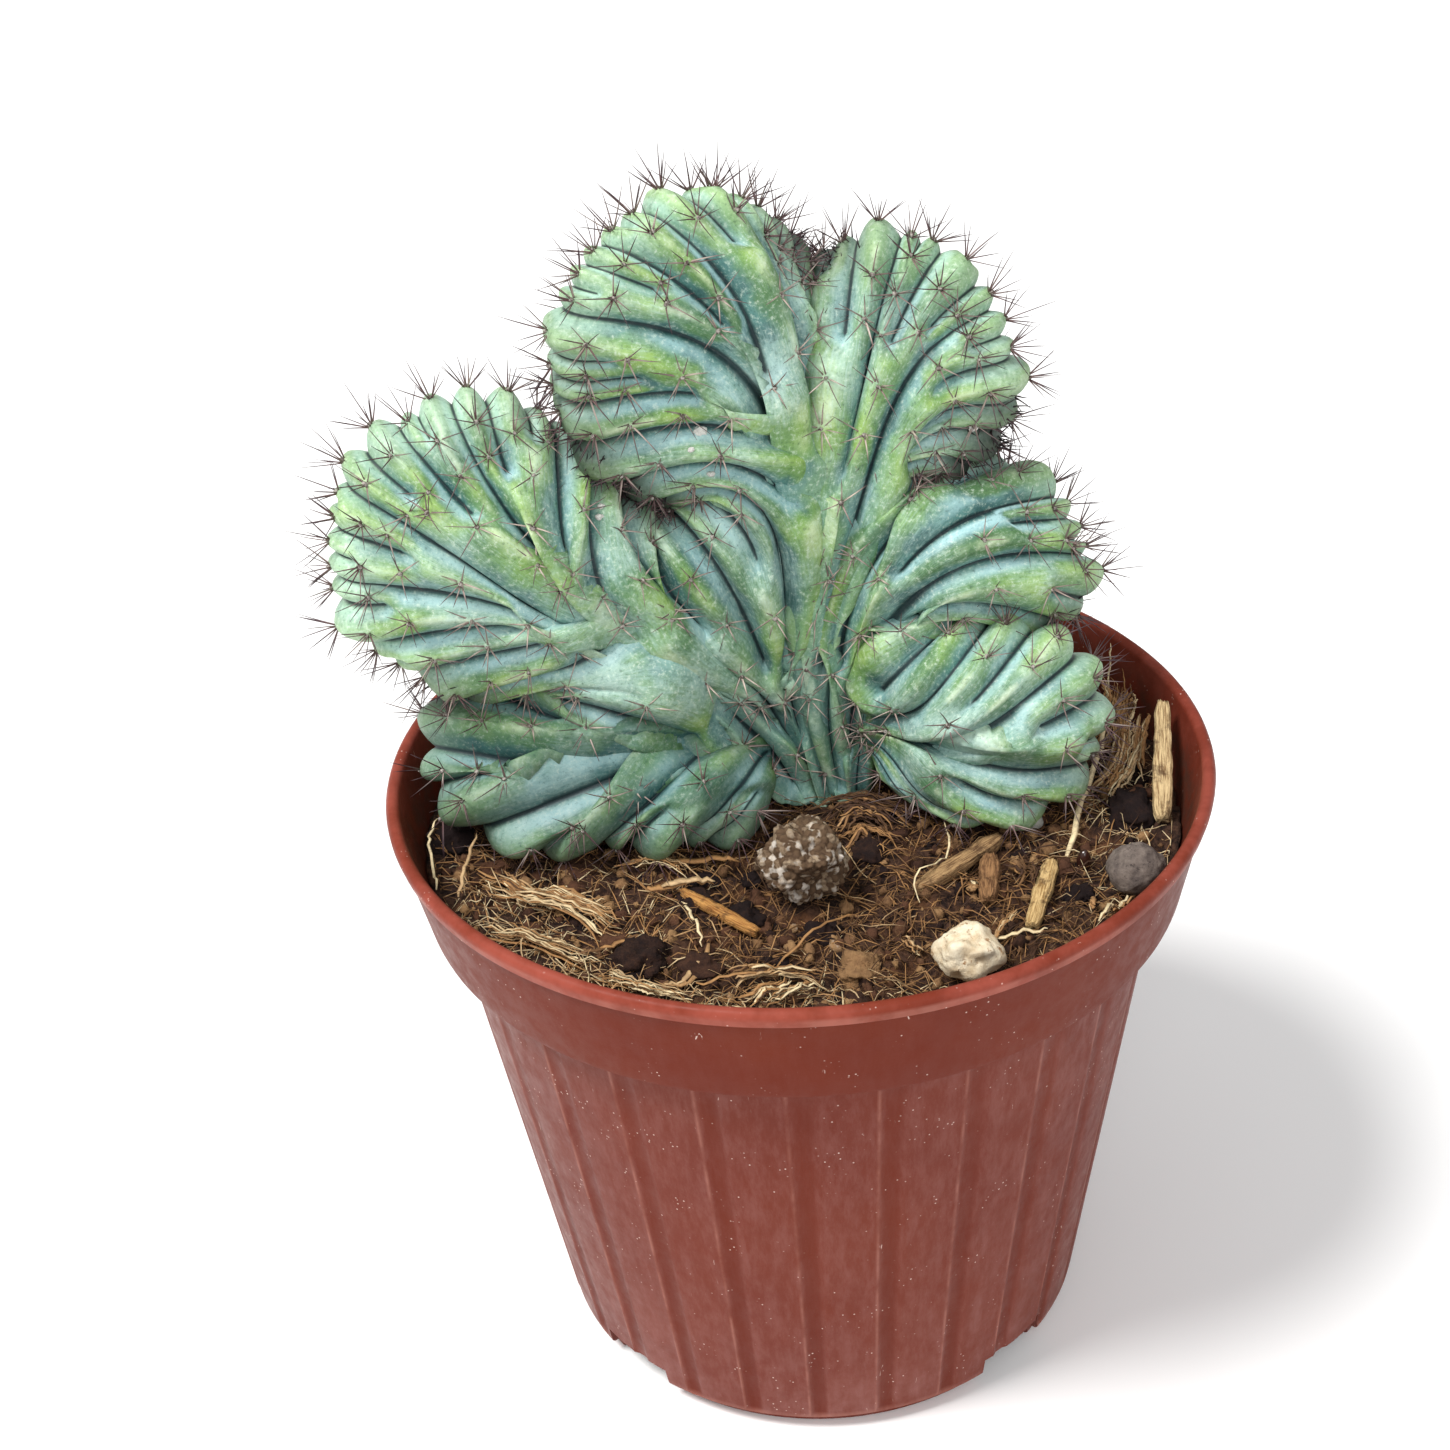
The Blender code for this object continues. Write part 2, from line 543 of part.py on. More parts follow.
def build_chips():
    """Flat splinters of wood with blunt ends, lying just clear of the soil."""
    for name, (start, end, width, thickness, lift) in CHIPS.items():
        a, b = Vector(start), Vector(end)
        along = (b - a).normalized()
        side = Vector((-along.y, along.x))
        below = [a + (b - a) * k / 8 + side * s for k in range(9) for s in (-1.5, 0, 1.5)]
        base = max(float(soil_height(*place)) for place in below) + CHIP_GAP
        vertices = []
        for share, spread in ((0, 0.55), (0.12, 0.9), (0.55, 1.0), (0.9, 0.75), (1, 0.4)):
            middle = a + (b - a) * share
            for sideways, up in ((-0.5, 0), (0.5, 0), (0.35, 1), (-0.35, 1)):
                place = middle + side * sideways * width * spread
                height = base + lift * share + up * thickness * (0.7 + 0.3 * spread)
                vertices.append((place.x, place.y, height))
        faces = [(3, 2, 1, 0), (16, 17, 18, 19)]
        for ring in range(4):
            for k in range(4):
                p, q = ring * 4 + k, ring * 4 + (k + 1) % 4
                faces.append((p, q, q + 4, p + 4))
        mesh_object(name, vertices, faces, plain_material(name, (0.36, 0.23, 0.11), 0.8))


def spine_directions(outward, rng, count):
    """Directions of the spines of one areole, spread around the outward direction."""
    outward = Vector(outward).normalized()
    first = outward.orthogonal().normalized()
    turn = rng.uniform(0, 2 * math.pi)
    made = []
    for k in range(count):
        tilt = SPINE_SPREAD * rng.uniform(0.75, 1.25) if count > 1 else 0.3 * SPINE_SPREAD
        spin = Matrix.Rotation(turn + 2 * math.pi * k / count, 3, outward)
        sideways = spin @ first
        made.append((outward * math.cos(tilt) + sideways * math.sin(tilt)).normalized())
    return made


def clear_direction(start, direction, length):
    """The spine's direction, turned upwards until its tip clears the soil and the pot."""
    for _ in range(8):
        tip = start + direction * length
        if tip.z > clear_height(tip.x, tip.y) + SPINE_CLEAR:
            return direction
        direction = (direction + Vector((0, 0, 0.3))).normalized()
    return None


def raise_spine(shape, face, direction, length):
    """Turn one triangle of the skin into a needle's root ring and draw the needle out of it."""
    corners = list(face.verts)
    centre = face.calc_center_median()
    reach = sum((corner.co - centre).length for corner in corners) / 3
    shrink = min(0.7, SPINE_RADIUS * MM / reach)
    ring = [shape.verts.new(centre + (corner.co - centre) * shrink) for corner in corners]
    tip = shape.verts.new(centre + direction * length * MM)
    shape.faces.remove(face)
    for k in range(3):
        nxt = (k + 1) % 3
        shape.faces.new((corners[k], corners[nxt], ring[nxt], ring[k]))
        shape.faces.new((ring[k], ring[nxt], tip))


def raise_spines(body, crest):
    """Needles on every areole: a fan of them along the growing edge, one on each ridge areole."""
    rng = random.Random(SEED)
    shape = bmesh.new()
    shape.from_mesh(body.data)
    bmesh.ops.triangulate(shape, faces=shape.faces)
    skin = list(shape.faces)
    places = KDTree(len(skin))
    for number, face in enumerate(skin):
        places.insert(face.calc_center_median(), number)
    places.balance()
    taken = set()
    for point, outward, from_edge in crest.areoles(AREOLE_SPACING, rng):
        directions = spine_directions(outward, rng, EDGE_SPINES if from_edge < 2 else 1)
        near = [number for _, number, _ in places.find_n(Vector(point) * MM, 12)
                if number not in taken and skin[number].normal.dot(Vector(outward)) > 0.3]
        for direction, number in zip(directions, near):
            length = rng.uniform(*SPINE_LENGTH)
            direction = clear_direction(skin[number].calc_center_median() / MM, direction, length)
            if direction:
                taken.add(number)
                raise_spine(shape, skin[number], direction, length)
    shape.to_mesh(body.data)
    shape.free()


def keep_outer_skin(body):
    """Remove the closed pockets that the remesh leaves where the folds touch."""
    shape = bmesh.new()
    shape.from_mesh(body.data)
    waiting = set(shape.verts)
    islands = []
    while waiting:
        island = [waiting.pop()]
        for vertex in island:
            for edge in vertex.link_edges:
                other = edge.other_vert(vertex)
                if other in waiting:
                    waiting.remove(other)
                    island.append(other)
        islands.append(island)
    islands.sort(key=len)
    for island in islands[:-1]:
        bmesh.ops.delete(shape, geom=island, context="VERTS")
    shape.to_mesh(body.data)
    shape.free()


def build_crest():
    """The crested plant: ribbed sheet and spines as one body."""
    crest = Crest(4, 44, 6)
    vertices, faces = crest.solid()
    skin = plain_material("cactus_skin", (0.12, 0.24, 0.14), 0.55)
    body = mesh_object("cactus_crest", vertices, faces, skin)
    even = body.modifiers.new("even_mesh", "REMESH")
    even.mode = "VOXEL"
    even.voxel_size = BODY_VOXEL * MM
    apply_modifiers(body)
    keep_outer_skin(body)
    fewer = body.modifiers.new("fewer_faces", "DECIMATE")
    fewer.ratio = BODY_FACES / (2 * len(body.data.polygons))
    apply_modifiers(body)
    raise_spines(body, crest)
    body.data.shade_smooth()
    body.data.set_sharp_from_angle(angle=math.radians(50))
    return body


def main():
    for obj in list(bpy.data.objects):
        bpy.data.objects.remove(obj)
    build_pot()
    build_soil()
    build_stones()
    build_chips()
    build_crest()


main()
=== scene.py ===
"""Looks of a crested cactus in a fluted nursery pot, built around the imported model.

Lengths are in millimetres until a mesh is made, which turns them into metres.
"""
import math
import random

import bmesh
import bpy
import numpy as np
from mathutils import Matrix, Vector, noise


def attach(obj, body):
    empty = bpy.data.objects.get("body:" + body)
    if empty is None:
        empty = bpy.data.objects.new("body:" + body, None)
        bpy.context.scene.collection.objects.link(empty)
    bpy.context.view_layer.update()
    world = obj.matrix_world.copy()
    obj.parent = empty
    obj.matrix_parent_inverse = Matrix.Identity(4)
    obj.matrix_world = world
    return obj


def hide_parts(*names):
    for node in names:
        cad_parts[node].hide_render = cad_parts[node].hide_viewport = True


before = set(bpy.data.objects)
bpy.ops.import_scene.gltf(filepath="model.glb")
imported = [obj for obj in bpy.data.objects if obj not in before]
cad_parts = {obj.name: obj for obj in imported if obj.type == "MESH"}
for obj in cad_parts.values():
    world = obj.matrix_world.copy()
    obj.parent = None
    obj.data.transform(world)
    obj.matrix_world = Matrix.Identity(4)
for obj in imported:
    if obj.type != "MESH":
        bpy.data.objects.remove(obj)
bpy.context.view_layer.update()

MM = 0.001
SEED = 7

# Camera that took the photograph
CAMERA_PLACE = (0.0, -300.6, 289.2)
CAMERA_RIGHT = (0.99824, -0.00313, -0.05914)
CAMERA_UP = (0.05181, 0.52989, 0.84648)
CAMERA_LENS = 60.86

# Pot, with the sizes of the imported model
POT_HEIGHT = 96.0
RIM_RADIUS = 60.0
RIM_BEAD = 2.0
BAND_HEIGHT = 17.2
BAND_FOOT_RADIUS = 56.2
BODY_TOP_RADIUS = 52.7
BODY_FOOT_RADIUS = 41.2
FOOT_RADIUS = 39.2
FOOT_HEIGHT = 2.6
WALL = 1.3
FLUTES = 26
FLUTE_FIRST_ANGLE = math.radians(-92.2)
FLUTE_DEPTH = 0.35
FLUTE_HALF_ANGLE = math.radians(1.3)
DRAIN_CUTS = 4
DRAIN_WIDTH = 13.0
DRAIN_HEIGHT = 6.0
DRAIN_DEPTH = 14.0
DRAIN_FIRST_ANGLE = math.radians(-46.0)
INNER_HEIGHTS = (POT_HEIGHT - 6, POT_HEIGHT - 11, POT_HEIGHT - BAND_HEIGHT + 2,
                 POT_HEIGHT - BAND_HEIGHT, FOOT_HEIGHT + WALL)

# Soil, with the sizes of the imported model
SOIL_LEVEL = 83.2
SOIL_GAP = 0.4
SOIL_RISE = 2.4
SOIL_LUMPS = 0.5
PIT_RADII = (7.6, 8.2)
SOIL_SPOKES = 360
SOIL_RINGS = 96

# Stones: centre, radii and lumps as in the imported model
STONES = {
    "stone_pumice": ((-0.5, -17.0, 89.0), (6.4, 5.6, 5.8), 0.22),
    "stone_cream": ((21.6, -37.0, 86.6), (4.6, 4.2, 3.6), 0.16),
    "pebble_dark": ((46.6, -20.5, 87.2), (4.0, 3.8, 3.4), 0.06),
    "pebble_pale": ((33.9, -4.5, 85.0), (1.5, 1.2, 1.1), 0.05),
}

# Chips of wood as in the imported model: start, end, width, thickness, rise; then dark and light colours
CHIPS = {
    "chip_splinter": ((15.7, -19.5), (29.0, -7.5), 2.6, 1.8, 0.0, (98, 70, 46), (176, 142, 100)),
    "chip_bark": ((27.0, -12.8), (25.6, -23.3), 3.0, 1.9, 0.0, (88, 58, 38), (158, 118, 80)),
    "chip_pale": ((35.6, -14.0), (31.0, -29.5), 2.4, 1.4, 0.0, (150, 114, 66), (216, 184, 130)),
    "chip_stick": ((-17.5, -16.5), (-6.5, -27.5), 1.8, 1.4, 0.0, (134, 84, 42), (200, 148, 84)),
    "chip_leaning": ((52.0, -9.0), (54.5, 9.0), 2.6, 1.2, 9.0, (122, 92, 58), (214, 188, 142)),
}
CHIP_GAP = 0.4

# Straw, roots and shreds: places (x, y, height above the soil), width, strips, tone from dark to pale
STRAWS = (
    (((-46, -13, 1.0), (-38, -17, 2.4), (-31, -21, 2.2), (-26, -25, 1.0)), 4.4, 22, 0.66),
    (((-46, -10, 1.0), (-39, -15, 2.0), (-34, -19, 2.6)), 2.4, 9, 0.55),
    (((-45, -25, 1.0), (-37, -29, 1.8), (-29, -32, 1.0)), 3.2, 12, 0.62),
    (((-20, -11, 1.8), (-14, -10.5, 2.4), (-9, -10, 2.2)), 1.4, 1, 0.36),
    (((-29, -11.5, 1.2), (-23, -10, 2.0), (-18, -12, 2.4), (-14, -16, 1.2)), 1.8, 6, 0.62),
    (((-24, -14.5, 1.4), (-18, -15, 2.2), (-12, -14, 1.4)), 1.3, 2, 0.85),
    (((-49, -18.5, 1.2), (-47, -7, 5.0)), 0.6, 1, 0.6), (((-52, -17, 1.5), (-54, -8, 4.0), (-53, -4, 5.5)), 0.5, 1, 0.75),
    (((-14.5, -21, 2.6), (-13.8, -29, 2.0), (-15, -35, 1.2), (-19, -38, 1.2), (-25, -38.5, 1.0)), 1.0, 2, 0.86),
    (((-17, -21, 1.6), (-15.5, -25, 2.0), (-14.4, -30, 1.4)), 0.5, 1, 0.9),
    (((-10.5, -38, 1.0), (-7, -37, 2.0), (-1, -37, 1.8), (4.5, -39, 1.0)), 2.0, 7, 0.58),
    (((-9, -43.5, 1.2), (-5.5, -41.5, 2.0), (-1.5, -40, 2.2)), 2.0, 7, 0.74),
    (((-7, -44, 1.2), (-2.5, -42.5, 2.4), (1, -39.5, 2.0)), 1.6, 5, 0.8),
    (((-4.5, -34.5, 1.2), (2, -28.5, 2.4), (8, -22.5, 2.0)), 0.5, 1, 0.62),
    (((-16, -38, 1.0), (-6.5, -37.7, 2.2), (-2.3, -33.5, 1.4)), 0.6, 2, 0.7),
    (((3, -2, 1.0), (7.5, 0.5, 3.0), (12, -0.5, 3.0), (15.5, -4.5, 1.2)), 6.0, 26, 0.13),
    (((5, -5.5, 0.8), (9.5, -4, 2.0), (14, -9, 1.0)), 4.0, 14, 0.2),
    (((21, -5.6, 3.0), (21.3, -9.5, 2.0), (18.8, -15.5, 3.2), (15.7, -19, 3.0), (16.2, -22.5, 1.2)), 0.36, 1, 1.0),
    (((29.5, -12.5, 1.0), (32, -17.5, 1.6), (30, -22, 1.0)), 2.6, 5, 0.16),
    (((37.6, -13.4, 1.2), (43, 3.5, 3.0), (47.5, 14.5, 6.0)), 1.0, 1, 0.8),
    (((44, 0, 1.5), (48, 4.5, 2.5), (51, 10, 4.5)), 3.4, 14, 0.6),
    (((48, 22, 1.0), (48.6, 23.5, 7.0), (48.8, 24, 12.0)), 0.8, 1, 0.68),
    (((50.5, 20, 1.0), (51, 21.5, 5.0), (50.6, 22, 9.0)), 0.6, 1, 0.5),
    (((46, 12, 1.0), (49.5, 18, 4.0), (50.5, 21, 8.0)), 5.0, 26, 0.56),
    (((48, 4, 1.0), (50, 10, 3.0), (51, 16, 4.5)), 5.0, 22, 0.5),
    (((26, -30, 1.6), (33, -31.5, 1.4)), 0.8, 1, 0.95), (((40.4, -21, 1.4), (39.6, -29.5, 1.2)), 0.8, 2, 0.72),
    (((-28, -37, 1.0), (-22.5, -39.5, 1.8), (-14.5, -42.5, 1.0)), 1.6, 6, 0.72),
    (((24, -32, 1.2), (30, -25, 1.6)), 1.0, 3, 0.7), (((40, -32.5, 1.2), (44, -26, 1.8), (47, -21.5, 1.2)), 1.2, 4, 0.66),
    (((13.5, -29, 1.0), (16, -34, 1.4)), 2.0, 3, 0.64), (((22.5, -20.5, 1.0), (25.5, -17.5, 1.6)), 1.4, 2, 0.78),
    (((-36, -34, 1.0), (-26, -29, 1.8), (-17, -28, 1.0)), 0.8, 2, 0.5), (((20, 30, 1.0), (34, 36, 2.0), (42, 33, 1.5)), 4.0, 16, 0.6),
    (((-34, 32, 1.0), (-20, 40, 2.0), (-6, 44, 1.2)), 3.6, 14, 0.55), (((2, 36, 1.0), (12, 42, 2.2), (22, 46, 1.2)), 1.2, 2, 0.8),
    (((-50, 14, 1.0), (-46, 24, 2.0), (-38, 34, 1.2)), 2.6, 8, 0.6),
)

# Clods of peat and lumps of bark: place, radius, tone from dark to pale
CLODS = (((-23.6, -32), 4.2, 0.12), ((-14.6, -34), 3.0, 0.2), ((-9, -21.5), 3.2, 0.05), ((-16, -18.5), 3.0, 0.1),
         ((-51.5, -2.5), 3.0, 0.0), ((49, -3), 4.2, 0.05), ((40, 4), 2.8, 0.55), ((7, -36), 3.2, 0.75),
         ((33, -2), 2.6, 0.4), ((10, -8), 3.0, 0.1), ((2, -27), 3.2, 0.05), ((-33, -9), 3.0, 0.3),
         ((30, 40), 4.0, 0.3), ((-14, 36), 4.2, 0.1), ((-40, 22), 3.4, 0.5), ((16, 36), 3.0, 0.2))

# Crest: one thick sheet, whose ribs fan out from a short stem
STEM_CENTRE = (4.5, 14.0)
STEM_HALF_WIDTH = 6.0
STEM_FOOT = 72.0
COLLAR_CENTRE = (4.5, 88.0)
RIBS_PER_GUIDE = 3
BODY_HALF_THICKNESS = 5.2
MARGIN_HALF_THICKNESS = 4.4
SLIT_HALF_THICKNESS = 2.4
SIDE_ROUNDING = 5.0
RIB_DEPTH = 4.0
RIB_DEPTH_PER_WIDTH = 0.5
STEM_CLEAR = 18.0
CREST_CLEAR = 0.9
REST_SOFTNESS = 0.4
WALL_CLEAR_RADIUS = 54.0
RIB_SPLIT_WIDTH = (3.9, 5.4)
SPLIT_GROWTH = ((0, 1.0), (14, 1.35), (30, 1.5), (50, 1.8))
SPLIT_PLACES = ((0, 1.9), (6, 1.7), (10, 1.3), (16, 1.3), (19, 1.9), (23, 1.9), (26, 1.15), (36, 1.1), (39, 1.2), (45, 1.4))
FORK_LENGTH = 0.11
STEM_SMOOTHINGS = 110
STEM_SMOOTHED_TO = (34, 22)
BEND_SHARE = 0.6
EDGE_RELIEF = 1.8

CREST_GRID = (54, 7)
COLUMN_WIDTHS = (2.0, 4.6)
COARSER_FROM = (0.52, 0.26)
RIDGE_ROUNDING = 0.3
RIB_SKEW = 0.1
EYE_REACH = 7.0

# Guides up to which the skin is painted darker and bluer: painted shade of the low lobe under the lobe above
SHADED_TO = 9.0
EYES = ((8.5, 1.6), (21.3, 3.9), (31, 1.3), (37, 1.4), (42.3, 1.5))
AREOLE_STEPS = (3.4, 8.5, 11.5)
CRUMBS = 1500
EYE_SPINES = 2600

# Grains on the skin: guide, distance from the edge, size
SPECKS = ((24.1, 15.6, 0.75), (23.83, 14.5, 0.4), (23.0, 13.4, 0.45), (18.04, 6.6, 0.45), (18.0, 8.2, 0.5), (36.1, 4.4, 0.5))
SMALL_CLODS = 66
STRAW_POINTS = 13

# Guide ribs from the left end of the crest to its right end. Each has the point where the
# rib bends and the point where it meets the crest's growing edge, in millimetres.
GUIDES = {
    "low_left": [
        ((-6, 1, 86), (-9, -6, 86)), ((-13, -2, 90), (-21, -7, 86)), ((-19, -2, 92), (-32, -6, 86)),
        ((-25, -2, 92), (-42, -4, 87)), ((-30, -2, 95), (-49, -3, 90)), ((-31, 0, 96), (-54, 1, 95)),
        ((-32, 0, 99), (-54, 4, 99)), ((-32, 2, 103), (-51, 7, 103)), ((-28, 2, 106), (-45, 9, 103)),
    ],
    "left": [
        ((-24, 2, 112), (-47, 7, 107)), ((-31, 2, 116), (-54, 2, 114)), ((-38, 2, 121), (-62, 1, 121)),
        ((-40, 2, 125), (-64, 2, 131)), ((-40, 2, 128), (-62, 5, 141)), ((-39, 2, 130), (-57, 7, 147)),
        ((-38, 3, 132), (-49, 9, 151)), ((-35, 4, 132), (-42, 10, 152)), ((-31, 4, 131), (-35, 11, 149)),
        ((-28, 4, 129), (-30, 12, 140)), ((-23, 6, 126), (-25, 14, 135)), ((-18, 7, 125), (-20, 16, 128)),
    ],
    "top_left": [
        ((-11, 8, 130), (-17, 16, 130)), ((-7, 8, 135), (-17, 14, 134)), ((-5, 8, 140), (-24, 10, 140)),
        ((-6, 8, 145), (-29, 7, 146)), ((-8, 8, 151), (-31, 4, 155)), ((-8, 8, 155), (-30, 4, 164)),
        ((-7, 9, 158), (-25, 7, 172)), ((-5, 10, 163), (-17, 12, 176)), ((-2, 12, 162), (-9, 15, 177)),
        ((1, 14, 157), (-1, 17, 172)),
    ],
    "notch": [((5, 16, 152), (5, 20, 163))],
    "top_right": [
        ((9, 14, 155), (11, 19, 168)), ((14, 14, 155), (20, 19, 168)), ((18, 13, 153), (28, 16, 163)),
        ((20, 12, 149), (33, 12, 153)), ((20, 12, 143), (33, 12, 144)),
    ],
    "right_eye": [((15, 12, 134), (24, 19, 130))],
    "right": [
        ((17, 10, 127), (31, 18, 130)), ((20, 9, 126), (39, 17, 128)), ((22, 8, 123), (43, 15, 119)),
        ((21, 8, 119), (43, 12, 112)),
    ],
    "low_right_eye": [((17, 8, 114), (27, 14, 109))],
    "low_right": [
        ((17, 4, 109), (26, 12, 108)), ((23, 1, 106), (32, 10, 109)), ((27, 0, 103), (40, 9, 107)),
        ((30, 0, 99), (44, 8, 99)), ((27, -1, 94), (42, 4, 90)), ((21, 0, 91), (33, 0, 86)),
        ((14, 4, 88), (20, -1, 86)),
    ],
}

# Directions in which each lobe's first and last guide leave the stem, in degrees from +X,
# and how far out and how far forward the ribs are when they have left it.
LEAVING_ANGLES = {
    "low_left": (192, 158), "left": (154, 122), "top_left": (118, 100), "notch": (97, 97),
    "top_right": (94, 84), "right_eye": (81, 81), "right": (78, 66), "low_right_eye": (60, 60),
    "low_right": (50, -4),
}
COLLAR_REACH = ((-15, 7.5), (10, 10), (60, 17), (160, 18), (205, 7.5))
COLLAR_DEPTH = ((-10, 9), (60, 11), (100, 13), (150, 10), (205, 7))

# Ribs beside which the edge folds back on itself, counted in guides from the left end
SLITS = (8.5, 20.5, 31, 37, 42)
SLIT_SPREAD = 1.8


def catmull_rom(points, place):
    """Points on the smooth line through `points` at the given places, counted in points."""
    points = np.asarray(points, float)
    first = 2 * points[0] - points[1]
    last = 2 * points[-1] - points[-2]
    line = np.vstack([first, points, last])
    index = np.clip(np.floor(place).astype(int), 0, len(points) - 2)
    t = (place - index)[:, None]
    a, b, c, d = (line[index + k] for k in range(4))
    return 0.5 * (2 * b + (c - a) * t + (2 * a - 5 * b + 4 * c - d) * t**2 + (3 * b - a - 3 * c + d) * t**3)


def guide_points():
    """Bend, edge and leaving angle of every guide rib, from left to right."""
    bends, edges, angles = [], [], []
    for lobe, ribs in GUIDES.items():
        first, last = LEAVING_ANGLES[lobe]
        angles += list(np.linspace(first, last, len(ribs)))
        bends += [rib[0] for rib in ribs]
        edges += [rib[1] for rib in ribs]
    return np.array(bends, float), np.array(edges, float), np.array(angles, float)


def rib_lines(ribs, fractions):
    """Middle lines of the given ribs: points at fractions of each rib's length, and its length."""
    bends, edges, angles = guide_points()
    place = ribs / RIBS_PER_GUIDE
    share = place / (len(bends) - 1)
    angle = catmull_rom(angles[:, None], place)[:, 0]
    reach = np.interp(angle, *zip(*COLLAR_REACH))
    turn = np.radians(angle)
    foot = np.stack([STEM_CENTRE[0] + STEM_HALF_WIDTH * (2 * share - 1),
                     np.full_like(share, STEM_CENTRE[1]), np.full_like(share, STEM_FOOT)], 1)
    collar = np.stack([COLLAR_CENTRE[0] + reach * np.cos(turn), np.interp(angle, *zip(*COLLAR_DEPTH)),
                       COLLAR_CENTRE[1] + reach * np.sin(turn)], 1)
    through = np.stack([foot, collar, catmull_rom(bends, place), catmull_rom(edges, place)], 1)
    lines = smooth_lines(through)
    steps = np.linalg.norm(np.diff(lines, axis=1), axis=2)
    run = np.concatenate([np.zeros((len(ribs), 1)), np.cumsum(steps, 1)], 1)
    length = run[:, -1] - EDGE_RELIEF
    out = np.empty((len(ribs), fractions.shape[1], 3))
    for k, line in enumerate(lines):
        for axis in range(3):
            out[k, :, axis] = np.interp(fractions[k] * length[k], run[k], line[:, axis])
    return out, length


def smooth_lines(through, steps=24):
    """One smooth line through each row of four points, leaving the first one straight up."""
    gap = np.sqrt(np.linalg.norm(np.diff(through, axis=1), axis=2))[..., None]
    slope = np.diff(through, axis=1) / gap
    tangent = np.empty_like(through)
    tangent[:, 1:-1] = (slope[:, :-1] * gap[:, 1:] + slope[:, 1:] * gap[:, :-1]) / (gap[:, 1:] + gap[:, :-1])
    tangent[:, 0] = np.linalg.norm(slope[:, 0], axis=1)[:, None] * np.array([0, 0, 1.0])
    tangent[:, -1] = 1.5 * slope[:, -1] - 0.5 * tangent[:, -2]
    pieces = []
    for k in range(3):
        t = np.linspace(0, 1, steps, endpoint=(k == 2))[None, :, None]
        a, b = through[:, k, None], through[:, k + 1, None]
        ta, tb = tangent[:, k, None] * gap[:, k, None], tangent[:, k + 1, None] * gap[:, k, None]
        pieces.append((2 * t**3 - 3 * t**2 + 1) * a + (t**3 - 2 * t**2 + t) * ta
                      + (3 * t**2 - 2 * t**3) * b + (t**3 - t**2) * tb)
    return np.concatenate(pieces, 1)


def smoothstep(x):
    x = np.clip(x, 0, 1)
    return x * x * (3 - 2 * x)


def unit(v):
    return v / np.maximum(np.linalg.norm(v, axis=-1, keepdims=True), 1e-9)


def blurred(normal, rounds=4):
    """Unit directions, smoothed over the grid."""
    normal = unit(normal)
    for _ in range(rounds):
        wide = np.pad(normal, ((1, 1), (1, 1), (0, 0)), mode="edge")
        normal = unit(wide[:-2, 1:-1] + wide[2:, 1:-1] + wide[1:-1, :-2] + wide[1:-1, 2:] + 2 * normal)
    return normal


def soil_height(x, y):
    """Height of the soil's lumpy surface, lower under the stones and higher at the wall."""
    radius = np.hypot(x, y)
    height = SOIL_LEVEL + SOIL_RISE * smoothstep((radius - 40) / 14)
    height = height + SOIL_LUMPS * np.sin(0.31 * x + 1.0) * np.sin(0.27 * y + 2.0)
    for (cx, cy, cz), (rx, ry, rz), _ in STONES.values():
        far = np.hypot((x - cx) / (rx + 3), (y - cy) / (ry + 3))
        bed = cz - 1.15 * rz - SOIL_GAP
        height = height + np.minimum(bed - height, 0) * smoothstep((1.5 - far) / 0.5)
    return height


